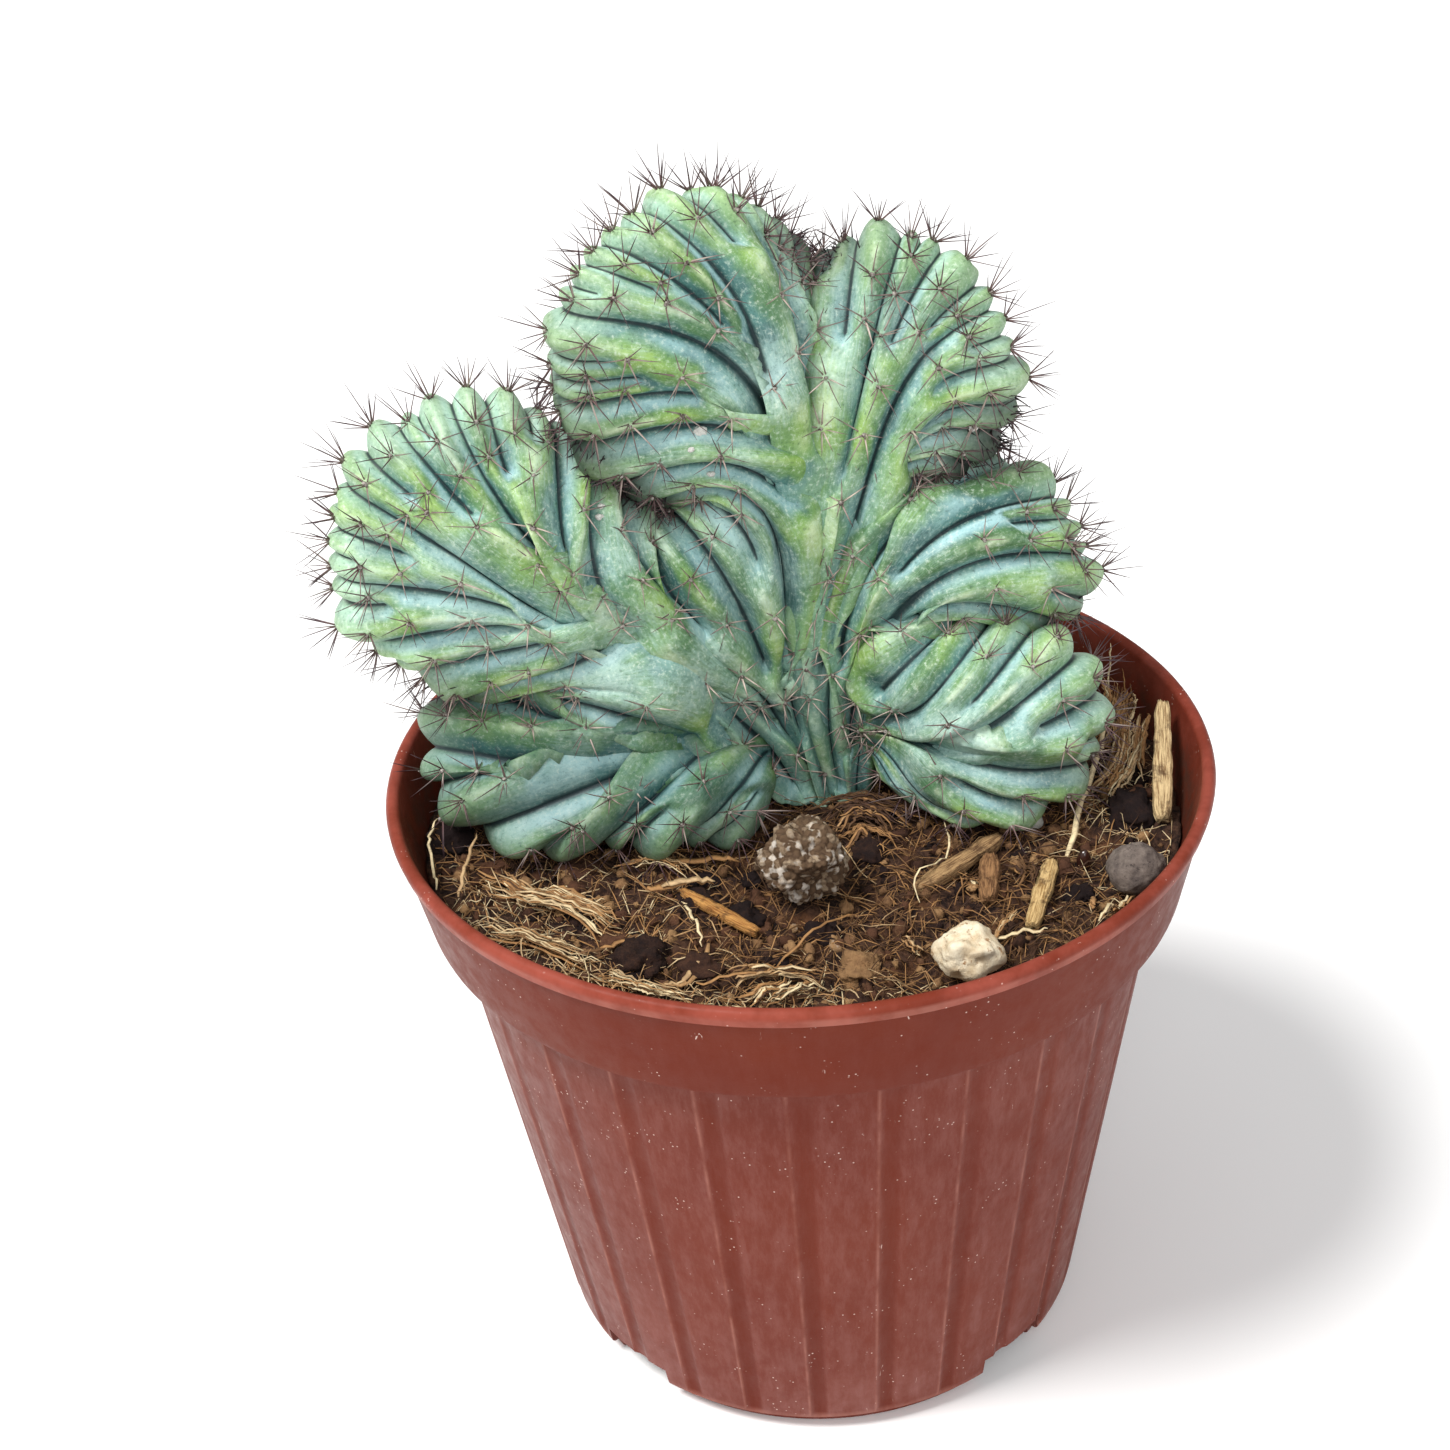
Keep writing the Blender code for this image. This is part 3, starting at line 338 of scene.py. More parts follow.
class Crest:
    """The crest's surface on a grid: one column per place across the ribs, and rows that run
    up the front of the sheet, over its edge and down its back."""

    def __init__(self, rows, edge_rows):
        bends = guide_points()[0]
        self.rib_count = RIBS_PER_GUIDE * (len(bends) - 1) + 1
        self.starts = self.column_starts()
        self.ribs = np.interp(np.arange(self.starts[-1] + 1), self.starts, np.arange(self.rib_count + 1)) - 0.5
        slit = sum(np.exp(-((self.ribs / RIBS_PER_GUIDE - s) / SLIT_SPREAD) ** 2) for s in SLITS)
        self.slit = np.minimum(slit, 1)
        edge = MARGIN_HALF_THICKNESS + (SLIT_HALF_THICKNESS - MARGIN_HALF_THICKNESS) * self.slit
        length = rib_lines(self.ribs, np.array([[0, 1.0]] * len(self.ribs)))[1]
        turn = np.linspace(0, math.pi / 2, edge_rows + 1)
        straight = np.linspace(0, 1, rows, endpoint=False)[None, :] * (1 - edge / length)[:, None]
        round_off = 1 - (edge / length)[:, None] * (1 - np.sin(turn))[None, :]
        fractions = np.concatenate([straight, round_off], 1)
        closing = np.concatenate([np.ones(rows), np.cos(turn)])
        self.middle = rib_lines(self.ribs, fractions)[0]
        self.fractions, self.length, self.half_rows = fractions, length, rows + edge_rows
        across = np.linalg.norm(np.diff(self.middle, axis=0), axis=2)
        self.across = np.concatenate([np.zeros((1, fractions.shape[1])), np.cumsum(across, 0)])
        thinner = (BODY_HALF_THICKNESS - edge[:, None]) * smoothstep((fractions - 0.5) / 0.5)
        inward = np.minimum(self.across, self.across[-1] - self.across) / SIDE_ROUNDING
        self.side = np.sqrt(1 - (1 - np.clip(inward, 0, 1)) ** 2)
        half = (BODY_HALF_THICKNESS - thinner) * closing * self.side
        facing = self.face_normals()
        front = self.middle + facing * half[..., None]
        back = self.middle - facing * half[..., None]
        self.surface = np.concatenate([front, back[:, -2::-1]], 1)
        self.raise_ribs()

    def column_starts(self):
        """First column of each rib: a wide rib has more columns, always a multiple of four."""
        limits = np.arange(self.rib_count + 1) - 0.5
        ends = rib_lines(limits, np.ones((len(limits), 1)))[0][:, 0]
        widths = np.linalg.norm(np.diff(ends, axis=0), axis=1)
        columns = 4 + 4 * np.searchsorted(COLUMN_WIDTHS, widths)
        return np.concatenate([[0], np.cumsum(columns)])

    def face_normals(self):
        """Directions square to the sheet, smoothed, towards the plant's front."""
        normal = unit(np.cross(np.gradient(self.middle, axis=0), np.gradient(self.middle, axis=1)))
        for _ in range(6):
            wide = np.pad(normal, ((1, 1), (1, 1), (0, 0)), mode="edge")
            normal = unit(wide[:-2, 1:-1] + wide[2:, 1:-1] + wide[1:-1, :-2] + wide[1:-1, 2:] + normal)
        return normal

    def mirrored(self, values):
        """Values of the sheet's half, continued over the edge and down the back."""
        return np.concatenate([values, values[:, -2::-1]], 1)

    def raise_ribs(self):
        """Raise the branching ribs from the sheet, on its front, edge and back alike."""
        self.branches = []
        self.tones = random.Random(SEED + 1)
        nothing = np.zeros(self.across.shape[1])
        relief, ridge, tone = self.branch(-0.5, self.rib_count - 0.5, random.Random(SEED), nothing)
        self.ridge = self.mirrored(ridge)
        self.tone = self.mirrored(tone)
        self.relief = self.mirrored(relief * smoothstep(self.side))
        self.from_edge = self.mirrored(self.length[:, None] * (1 - self.fractions))
        place = self.ribs / RIBS_PER_GUIDE
        eye = sum(np.exp(-((place - centre) / spread) ** 4) for centre, spread in EYES)
        self.eye = eye[:, None] * smoothstep(1.1 - self.from_edge / EYE_REACH)
        self.shaded = np.broadcast_to(smoothstep((SHADED_TO - place) / 2)[:, None], self.from_edge.shape)
        self.outward = blurred(np.cross(np.gradient(self.surface, axis=0), np.gradient(self.surface, axis=1)))
        self.surface = self.surface + self.outward * self.relief[..., None]
        self.smooth_stem()
        self.rest_on_soil()
        # How far the skin faces up; the skin material lays its bloom more on upward flanks, as painted highlight
        facing = unit(np.cross(np.gradient(self.surface, axis=0), np.gradient(self.surface, axis=1)))
        self.upward = facing[..., 2]

    def smooth_stem(self):
        """Smooth the small pleats where all ribs leave the stem."""
        run = self.mirrored(self.length[:, None] * self.fractions)
        far, near = STEM_SMOOTHED_TO
        share = (0.5 * smoothstep((far - run) / (far - near)))[1:-1, :, None]
        for _ in range(STEM_SMOOTHINGS):
            between = (self.surface[:-2] + self.surface[2:]) / 2
            self.surface[1:-1] += share * (between - self.surface[1:-1])

    def rest_on_soil(self):
        """Flatten the underside where the low lobes lie on the soil, outside the stem's pit."""
        x, y, z = np.moveaxis(self.surface, 2, 0)
        across, deep = (radius - CREST_CLEAR for radius in PIT_RADII)
        from_stem = np.hypot((x - STEM_CENTRE[0]) / across, (y - STEM_CENTRE[1]) / deep)
        ground = soil_height(x, y) + CREST_CLEAR
        ground = ground + (STEM_FOOT - ground) * smoothstep((1 - from_stem) / 0.15)
        self.surface[..., 2] = ground + REST_SOFTNESS * np.logaddexp(0, (z - ground) / REST_SOFTNESS)

    def fork_strength(self, strength):
        """A fork opens where the rib stays wide from there on, and never closes beyond the bend."""
        bend = int(BEND_SHARE * len(strength))
        strength[:bend + 1] = np.minimum.accumulate(strength[bend::-1])[::-1]
        strength[bend:] = np.maximum.accumulate(strength[bend:])
        return strength

    def column(self, rib):
        return int(round(float(np.interp(rib + 0.5, np.arange(self.rib_count + 1), self.starts))))

    def profile(self, place, skew):
        """Share of the way from groove to ridge, and height of a rib with a narrow rounded ridge."""
        top = 0.5 + skew
        share = np.where(place < top, place / top, (1 - place) / (1 - top))
        tent = 1 - (np.hypot(1 - share, RIDGE_ROUNDING) - RIDGE_ROUNDING) / (math.hypot(1, RIDGE_ROUNDING) - RIDGE_ROUNDING)
        return share, 0.45 * tent + 0.55 * (1 - (1 - share) ** 2)

    def branch(self, low, high, rng, from_row):
        """Height, ridge profile and tone of the rib between two grooves, forked where it is wide."""
        a, b = self.column(low), self.column(high)
        width = self.across[b] - self.across[a]
        place = (self.across[a:b + 1] - self.across[a]) / np.maximum(width, 1e-6)
        depth = np.minimum(RIB_DEPTH, RIB_DEPTH_PER_WIDTH * width)
        ridge, height = self.profile(place, self.tones.uniform(-RIB_SKEW, RIB_SKEW))
        own = depth * height
        tone = np.full(place.shape, self.tones.random())
        fork = np.zeros_like(width)
        if high - low > 1.5:
            split_width = rng.uniform(*RIB_SPLIT_WIDTH)
            from_edge = self.length[(a + b) // 2] * (1 - self.fractions[(a + b) // 2])
            split_width = split_width * np.interp(from_edge, *zip(*SPLIT_GROWTH))
            split_width = split_width * np.interp((low + high) / 2 / RIBS_PER_GUIDE, *zip(*SPLIT_PLACES))
            fork = self.fork_strength(smoothstep((width - split_width) / (FORK_LENGTH * split_width)))
            row = int(np.argmax(fork > 0.5)) if fork.max() > 0.5 else len(fork) - 1
            aside = 0.5 + 1.7 * (rng.uniform(0.4, 0.6) - 0.5)
            half_way = a + int(np.argmin(np.abs(place[:, row] - aside)))
            middle = -0.5 + round(float(np.interp(half_way, self.starts, np.arange(self.rib_count + 1))))
            middle = min(max(middle, low + 1), high - 1)
            left = self.branch(low, middle, rng, fork)
            right = self.branch(middle, high, rng, fork)
            forked = [np.concatenate([one, other[1:]]) for one, other in zip(left, right)]
            own, ridge, tone = ((1 - fork) * mine + fork * two for mine, two in zip((own, ridge, tone), forked))
        self.branches.append((low, high, from_row, fork))
        return own, ridge, tone

    def centre(self, low, high, row):
        """Column halfway across a rib at the given row."""
        a, b = self.column(low), self.column(high)
        run = self.across[a:b + 1, row]
        return a + int(np.argmin(np.abs(run - (run[0] + run[-1]) / 2)))

    def areoles(self, rng):
        """Places of the spine cushions on the ridges: point, outward, along the rib, distance to the edge."""
        last = self.surface.shape[1] - 1
        along = unit(np.gradient(self.surface, axis=1))
        found = []
        for low, high, opened, fork in self.branches:
            middle = self.column((low + high) / 2)
            from_edge = self.length[middle] * (1 - self.fractions[middle])
            distance = rng.uniform(0.1, 0.8)
            while distance < from_edge[0] - STEM_CLEAR:
                row = int(np.argmin(np.abs(from_edge - distance)))
                if opened[row] > 0.5 and fork[row] < 0.5:
                    column = self.centre(low, high, row)
                    for side in (row,) if distance < 1 else (row, last - row):
                        flow = along[column, side] * (1 if side == row else -1)
                        found.append((self.surface[column, side], self.outward[column, side], flow, distance))
                distance += np.interp(distance, (0, 12, 30), AREOLE_STEPS) * rng.uniform(0.85, 1.15)
        return found


def smoothed_noise(points, scale, seed, octaves=4):
    """Smooth noise of zero mean at points in millimetres; scale is the size of its lumps."""
    shift = Vector((seed * 17.3, seed * 5.1, seed * 9.7))
    flat = np.asarray(points, float).reshape(-1, 3) / scale
    values = [noise.fractal(Vector(p) + shift, 0.9, 2.1, octaves) for p in flat]
    return np.array(values).reshape(np.shape(points)[:-1])


def mesh_piece(name, vertices, faces, made_of, values=None, smooth=True):
    """A mesh in millimetres, with one number per vertex for each named value."""
    mesh = bpy.data.meshes.new(name)
    vertices = np.asarray(vertices, float).reshape(-1, 3) * MM
    if isinstance(faces, np.ndarray):
        corners = faces.shape[1]
        mesh.vertices.add(len(vertices))
        mesh.vertices.foreach_set("co", vertices.ravel())
        mesh.loops.add(faces.size)
        mesh.loops.foreach_set("vertex_index", faces.ravel().astype(np.int32))
        mesh.polygons.add(len(faces))
        mesh.polygons.foreach_set("loop_start", np.arange(0, faces.size, corners, dtype=np.int32))
        mesh.update(calc_edges=True)
    else:
        mesh.from_pydata(vertices.tolist(), [], faces)
    for label, numbers in (values or {}).items():
        layer = mesh.attributes.new(label, "FLOAT", "POINT")
        layer.data.foreach_set("value", np.asarray(numbers, np.float32).ravel())
    mesh.validate()
    if smooth:
        mesh.shade_smooth()
    else:
        mesh.shade_flat()
    piece = bpy.data.objects.new(name, mesh)
    bpy.context.collection.objects.link(piece)
    mesh.materials.append(made_of)
    return piece


def grid_faces(columns, rows, index=None):
    """Faces of a grid of vertices as an array of quads."""
    index = np.arange(columns * rows).reshape(columns, rows) if index is None else index
    return np.stack([index[:-1, :-1], index[1:, :-1], index[1:, 1:], index[:-1, 1:]], -1).reshape(-1, 4)


def tubes(paths, radii, sides=3, flat=1.0):
    """Closed thin tubes: paths is tubes x points x 3, radii is tubes x points, flat is height to width."""
    count, steps = paths.shape[:2]
    along = unit(np.gradient(paths, axis=1))
    helper = np.where(np.abs(along[..., 2:3]) < 0.8, [[[0, 0, 1.0]]], [[[1.0, 0, 0]]])
    side = unit(np.cross(along, helper))
    other = np.cross(along, side)
    turn = np.arange(sides) * 2 * math.pi / sides
    ring = (side[:, :, None] * np.cos(turn)[None, None, :, None]
            + other[:, :, None] * np.sin(turn)[None, None, :, None] * flat)
    vertices = paths[:, :, None] + ring * radii[:, :, None, None]
    index = np.arange(count * steps * sides).reshape(count, steps, sides)
    nxt = np.roll(index, -1, axis=2)
    quads = np.stack([index[:, :-1], nxt[:, :-1], nxt[:, 1:], index[:, 1:]], -1).reshape(-1, 4)
    ends = np.concatenate([index[:, 0, ::-1], index[:, -1]]).tolist()
    return vertices.reshape(-1, 3), quads.tolist() + ends


def per_vertex(values, repeat):
    return np.repeat(np.asarray(values, float).ravel(), repeat)


def ball(subdivisions):
    """Corners and triangles of a ball of radius 1."""
    shape = bmesh.new()
    bmesh.ops.create_icosphere(shape, subdivisions=subdivisions, radius=1)
    corners = np.array([vertex.co for vertex in shape.verts])
    triangles = np.array([[vertex.index for vertex in face.verts] for face in shape.faces])
    shape.free()
    return corners, triangles


def scattered_lumps(centres, sizes, rng, subdivisions=1, rough=0.25):
    """Many small irregular lumps as one mesh. sizes is lumps x 3."""
    corners, triangles = ball(subdivisions)
    count = len(centres)
    swell = 1 + rough * rng.uniform(-1, 1, (count, len(corners), 1))
    turned = np.einsum("nij,vj->nvi", random_turns(count, rng), corners)
    stretched = corners[None] * swell * sizes[:, None, :]
    turned = np.einsum("nij,nvj->nvi", random_turns(count, rng), stretched)
    vertices = centres[:, None, :] + turned
    faces = triangles[None] + (np.arange(count) * len(corners))[:, None, None]
    return vertices.reshape(-1, 3), faces.reshape(-1, 3), len(corners)


def random_turns(count, rng):
    """Random rotation matrices."""
    q = unit(rng.normal(size=(count, 4)))
    w, x, y, z = q.T
    return np.stack([np.stack([1 - 2 * (y * y + z * z), 2 * (x * y - z * w), 2 * (x * z + y * w)], -1),
                     np.stack([2 * (x * y + z * w), 1 - 2 * (x * x + z * z), 2 * (y * z - x * w)], -1),
                     np.stack([2 * (x * z - y * w), 2 * (y * z + x * w), 1 - 2 * (x * x + y * y)], -1)], 1)


class Shader:
    """A Principled material that is built up from nodes."""

    def __init__(self, name, roughness=0.6, specular=0.5):
        self.made = bpy.data.materials.new(name)
        self.made.use_nodes = True
        self.tree = self.made.node_tree
        self.principled = self.tree.nodes["Principled BSDF"]
        self.principled.inputs["Roughness"].default_value = roughness
        self.principled.inputs["Specular IOR Level"].default_value = specular

    def node(self, kind, **settings):
        made = self.tree.nodes.new(kind)
        for key, value in settings.items():
            setattr(made, key, value)
        return made

    def put(self, socket, value):
        if isinstance(value, bpy.types.NodeSocket):
            self.tree.links.new(value, socket)
        elif isinstance(value, tuple) and len(value) == 3 and socket.type == "RGBA":
            socket.default_value = (*value, 1)
        else:
            socket.default_value = value

    def value(self, name):
        """The number stored on the mesh's vertices under this name."""
        return self.node("ShaderNodeAttribute", attribute_name=name).outputs["Fac"]

    def along(self, across, run):
        """Coordinates in which a pattern can be stretched along the ribs."""
        made = self.node("ShaderNodeCombineXYZ")
        self.put(made.inputs[0], self.math("MULTIPLY", self.value("strip"), across))
        self.put(made.inputs[1], self.math("MULTIPLY", self.value("run"), run))
        return made.outputs[0]

    def place(self):
        return self.node("ShaderNodeTexCoord").outputs["Object"]

    def noise(self, scale, detail=4.0, roughness=0.55, where=None, distortion=0.0):
        """Noise whose lumps are about 1/scale metres across."""
        made = self.node("ShaderNodeTexNoise")
        self.put(made.inputs["Vector"], where or self.place())
        self.put(made.inputs["Scale"], scale)
        self.put(made.inputs["Detail"], detail)
        self.put(made.inputs["Roughness"], roughness)
        self.put(made.inputs["Distortion"], distortion)
        return made.outputs["Fac"]

    def cells(self, scale, where=None, feature="F1"):
        made = self.node("ShaderNodeTexVoronoi", feature=feature)
        self.put(made.inputs["Vector"], where or self.place())
        self.put(made.inputs["Scale"], scale)
        return made.outputs["Distance"]

    def ramp(self, value, low, high, to_low=0.0, to_high=1.0):
        """Value taken from low..high to to_low..to_high, clamped, with soft ends."""
        made = self.node("ShaderNodeMapRange", interpolation_type="SMOOTHSTEP")
        self.put(made.inputs["Value"], value)
        for socket, number in zip(("From Min", "From Max", "To Min", "To Max"), (low, high, to_low, to_high)):
            self.put(made.inputs[socket], number)
        return made.outputs["Result"]

    def math(self, operation, a, b=0.0):
        made = self.node("ShaderNodeMath", operation=operation)
        self.put(made.inputs[0], a)
        self.put(made.inputs[1], b)
        return made.outputs[0]

    def mix(self, share, a, b, blend="MIX"):
        made = self.node("ShaderNodeMix", data_type="RGBA", blend_type=blend)
        self.put(made.inputs[0], share)
        self.put(made.inputs[6], a)
        self.put(made.inputs[7], b)
        return made.outputs[2]

    def scaled(self, vector, scale):
        made = self.node("ShaderNodeVectorMath", operation="MULTIPLY")
        self.put(made.inputs[0], vector)
        made.inputs[1].default_value = scale
        return made.outputs[0]

    def colour(self, value):
        self.put(self.principled.inputs["Base Color"], value)

    def roughness(self, value):
        self.put(self.principled.inputs["Roughness"], value)

    def bump(self, height, distance_mm, strength=1.0):
        made = self.node("ShaderNodeBump")
        self.put(made.inputs["Height"], height)
        made.inputs["Distance"].default_value = distance_mm * MM
        made.inputs["Strength"].default_value = strength
        below = self.principled.inputs["Normal"]
        if below.is_linked:
            self.tree.links.new(below.links[0].from_socket, made.inputs["Normal"])
        self.tree.links.new(made.outputs["Normal"], below)


def srgb(red, green, blue):
    """Linear colour of an 8-bit screen colour."""
    def linear(level):
        level /= 255
        return level / 12.92 if level <= 0.04045 else ((level + 0.055) / 1.055) ** 2.4
    return (linear(red), linear(green), linear(blue))


def skin_material():
    """Waxy skin: yellow-green bellies, blue-green flanks with a pale bloom that is partly painted highlight where they
    face up, painted highlight on the ridges, grooves darkened as painted shade, and painted shade on the low left
    lobe.
    """
    s = Shader("cactus_skin", roughness=0.5, specular=0.35)
    ridge, from_edge, tone, upward = s.value("ridge"), s.value("from_edge"), s.value("tone"), s.value("upward")
    patches = s.noise(75, 3)
    lumps = s.noise(190, 4, 0.6)
    streaks = s.noise(1.0, 4, 0.6, s.along(0.7, 0.22))
    threads = s.noise(1.0, 4, 0.65, s.along(3.5, 0.45))
    fine = s.noise(1500, 5, 0.75)
    green = s.mix(s.ramp(patches, 0.35, 0.65), srgb(68, 108, 56), srgb(112, 152, 68))
    green = s.mix(s.math("MULTIPLY", tone, 0.45), green, srgb(78, 128, 88))
    blue = s.mix(s.ramp(lumps, 0.35, 0.65), srgb(48, 94, 92), srgb(84, 134, 128))
    crown = s.math("ADD", ridge, s.math("MULTIPLY", s.math("SUBTRACT", lumps, 0.5), 0.9))
    crown = s.math("ADD", crown, s.math("MULTIPLY", s.math("SUBTRACT", tone, 0.5), 0.35))
    skin = s.mix(s.ramp(crown, 0.22, 0.62), blue, green)
    yellow = s.math("MULTIPLY", s.ramp(crown, 0.55, 1.0), s.ramp(patches, 0.42, 0.62))
    skin = s.mix(s.math("MULTIPLY", yellow, 0.6), skin, srgb(158, 190, 84))
    lit = s.math("MULTIPLY", s.ramp(ridge, 0.7, 1.0), s.ramp(s.noise(130, 4, 0.6), 0.45, 0.66))
    skin = s.mix(s.math("MULTIPLY", lit, 0.62), skin, srgb(222, 236, 196))
    rim = s.math("MULTIPLY", s.ramp(ridge, 0.10, 0.26), s.ramp(ridge, 0.66, 0.34))
    # Bloom: real pale wax, laid more on upward-facing flanks, which is painted highlight
    bloom_and_highlight = s.math("MULTIPLY", rim, s.ramp(s.math("ADD", upward, streaks), 0.45, 1.15))
    bloom_and_highlight = s.math("MULTIPLY", bloom_and_highlight, s.ramp(s.noise(42, 4, 0.6), 0.36, 0.6, 0.25, 1.0))
    skin = s.mix(s.math("MULTIPLY", bloom_and_highlight, 0.85), skin, srgb(172, 212, 216))
    low = s.math("MULTIPLY", s.ramp(from_edge, 26, 60), s.ramp(ridge, 1.1, 0.4, 0.3, 0.7))
    skin = s.mix(low, skin, srgb(128, 172, 168))
    dusty = s.ramp(s.math("ADD", s.noise(55, 5, 0.6), s.math("MULTIPLY", threads, 0.4)), 0.6, 0.95, 0.04, 0.7)
    skin = s.mix(dusty, skin, srgb(184, 214, 208))
    skin = s.mix(s.ramp(from_edge, 9, 0.5, 0.0, 0.45), skin, srgb(184, 216, 172))
    skin = s.mix(s.ramp(fine, 0.5, 0.7, 0.0, 0.5), skin, srgb(222, 236, 220))
    skin = s.mix(s.ramp(fine, 0.47, 0.3, 0.0, 0.5), skin, srgb(36, 66, 54))
    # Painted shade: the low left lobe darkened and made bluer, as under the lobe above it
    skin = s.mix(s.math("MULTIPLY", s.value("shaded"), 0.5), skin, srgb(24, 66, 68))
    scar = s.ramp(s.noise(240, 5, 0.7), 0.69, 0.74)
    skin = s.mix(s.math("MULTIPLY", scar, 0.6), skin, srgb(150, 130, 92))
    # Painted shade: the grooves between the ribs darkened to a near-black teal
    skin = s.mix(s.ramp(ridge, 0.15, 0.03, 0.0, 0.92), skin, srgb(12, 32, 38))
    skin = s.mix(s.math("MULTIPLY", s.value("eye"), 0.94), skin, srgb(18, 15, 22))
    s.colour(skin)
    s.roughness(s.ramp(s.noise(500, 4), 0.3, 0.7, 0.42, 0.62))
    s.bump(lumps, 0.4, 0.5)
    s.bump(threads, 0.1, 0.6)
    s.bump(fine, 0.06, 0.6)
    return s.made


def spine_material():
    """Horny spines: near black when young, grey with dark tips when old."""
    s = Shader("spine_horn", roughness=0.45)
    age, along = s.value("age"), s.value("along")
    young = s.mix(s.ramp(along, 0.0, 0.6), srgb(128, 98, 98), srgb(62, 42, 48))
    old = s.mix(s.ramp(along, 0.4, 0.95), srgb(204, 188, 176), srgb(104, 76, 74))
    s.colour(s.mix(age, young, old))
    return s.made


def wool_material():
    s = Shader("areole_wool", roughness=0.95, specular=0.1)
    s.colour(s.mix(s.ramp(s.noise(2500, 3), 0.35, 0.65), srgb(84, 70, 66), srgb(176, 170, 162)))
    s.bump(s.noise(5000, 3), 0.2)
    return s.made


def pot_material():
    """Terracotta-brown moulded plastic: dusty between the flutes, scuffed, worn along its edges, with painted shadow
    under the band and painted highlight beside each flute and on the rim bead.
    """
    s = Shader("pot_plastic", roughness=0.42, specular=0.09)
    height, flute, wear_and_highlight = s.value("height"), s.value("flute"), s.value("wear_and_highlight")
    base = s.mix(s.ramp(s.noise(35, 4), 0.3, 0.7), srgb(96, 29, 8), srgb(103, 35, 11))
    dust = s.ramp(s.noise(500, 6, 0.75, s.scaled(s.place(), (1, 1, 0.25))), 0.36, 0.72, 0.3, 1.0)
    dust = s.math("MULTIPLY", dust, s.ramp(height, 79.2, 76.8, 0.06, 0.30))
    dust = s.math("ADD", dust, s.math("MULTIPLY", s.ramp(height, 34, 2), s.ramp(s.noise(90, 6, 0.7), 0.4, 0.7, 0.02, 0.26)))
    skin = s.mix(s.math("MULTIPLY", dust, s.ramp(flute, 1.0, 0.0, 0.4, 1.0)), base, srgb(150, 104, 98))
    skin = s.mix(s.math("MULTIPLY", flute, s.ramp(height, 72, 20, 0.08, 0.35)), skin, srgb(84, 24, 8))
    # Painted shadow: a dark strip on the body just under the band, where the band casts its shade
    under = s.math("MULTIPLY", s.ramp(height, 76.2, 77.4), s.ramp(height, 78.9, 78.7))
    skin = s.mix(s.math("MULTIPLY", under, 0.6), skin, srgb(62, 24, 14))
    # Pale lines: painted highlight along one side of each flute, and wear on the foot edge and under the rim bead
    skin = s.mix(s.math("MULTIPLY", wear_and_highlight, s.ramp(s.noise(160, 4), 0.35, 0.65, 0.04, 0.3)), skin, srgb(190, 134, 118))
    specks = s.math("MULTIPLY", s.ramp(s.cells(1100), 0.18, 0.08), s.ramp(s.noise(210, 2), 0.54, 0.66))
    scratch = s.ramp(s.noise(800, 3, 0.6, s.scaled(s.place(), (1, 1, 0.12)), 1.5), 0.70, 0.76)
    marks = s.math("MAXIMUM", specks, s.math("MULTIPLY", scratch, s.ramp(s.noise(70, 3), 0.5, 0.62)))
    skin = s.mix(s.math("MULTIPLY", marks, 0.75), skin, srgb(224, 198, 186))
    # Rim bead: pale pinkish patches, partly painted highlight standing in for glare and partly scuffs
    bead = s.math("MULTIPLY", s.value("bead"), s.ramp(s.noise(60, 5, 0.7), 0.35, 0.65, 0.10, 0.40))
    skin = s.mix(bead, skin, srgb(186, 98, 84))
    dirt = s.math("MULTIPLY", s.value("inside"), s.ramp(s.noise(180, 6, 0.7), 0.36, 0.62, 0.25, 1.0))
    skin = s.mix(s.math("MULTIPLY", dirt, 0.75), skin, srgb(66, 48, 40))
    s.colour(skin)
    s.roughness(s.ramp(s.noise(300, 5, 0.7), 0.3, 0.7, 0.34, 0.52))
    s.bump(s.noise(260, 5), 0.06, 0.5)
    s.bump(s.noise(3000, 2), 0.02, 0.5)
    return s.made


def peat_material():
    s = Shader("potting_mix", roughness=0.95, specular=0.15)
    dark = s.mix(s.ramp(s.noise(700, 6, 0.7), 0.35, 0.65), srgb(30, 22, 22), srgb(92, 66, 52))
    s.colour(s.mix(s.ramp(s.noise(160, 4), 0.5, 0.7), dark, srgb(112, 76, 52)))
    s.bump(s.noise(1500, 6, 0.75), 0.8)
    return s.made


def crumb_material(name="peat_crumbs"):
    """Peat to bark: dark purple-brown, then red-brown, then tan."""
    s = Shader(name, roughness=0.95, specular=0.15)
    tone = s.math("ADD", s.value("tone"), s.math("MULTIPLY", s.math("SUBTRACT", s.noise(900, 5, 0.7), 0.5), 0.5))
    dark = s.mix(s.ramp(tone, 0.0, 0.45), srgb(34, 25, 25), srgb(92, 62, 46))
    tan = s.mix(s.ramp(tone, 0.45, 0.9), dark, srgb(160, 124, 86))
    s.colour(s.mix(s.ramp(tone, 0.97, 1.2), tan, srgb(236, 234, 228)))
    s.bump(s.noise(1800, 5, 0.75), 0.5)
    return s.made


def fibre_material(name):
    """Dry plant fibre, from dark brown through golden to pale straw by its tone."""
    s = Shader(name, roughness=0.7, specular=0.25)
    tone = s.value("tone")
    brown = s.mix(s.ramp(tone, 0.0, 0.55), srgb(62, 42, 32), srgb(170, 126, 80))
    shade = s.mix(s.ramp(tone, 0.5, 1.0), brown, srgb(232, 212, 170))
    flecks = s.ramp(s.noise(700, 5, 0.7), 0.42, 0.62)
    s.colour(s.mix(s.math("MULTIPLY", flecks, 0.4), shade, srgb(84, 56, 36)))
    s.bump(s.noise(2600, 3), 0.06)
    return s.made


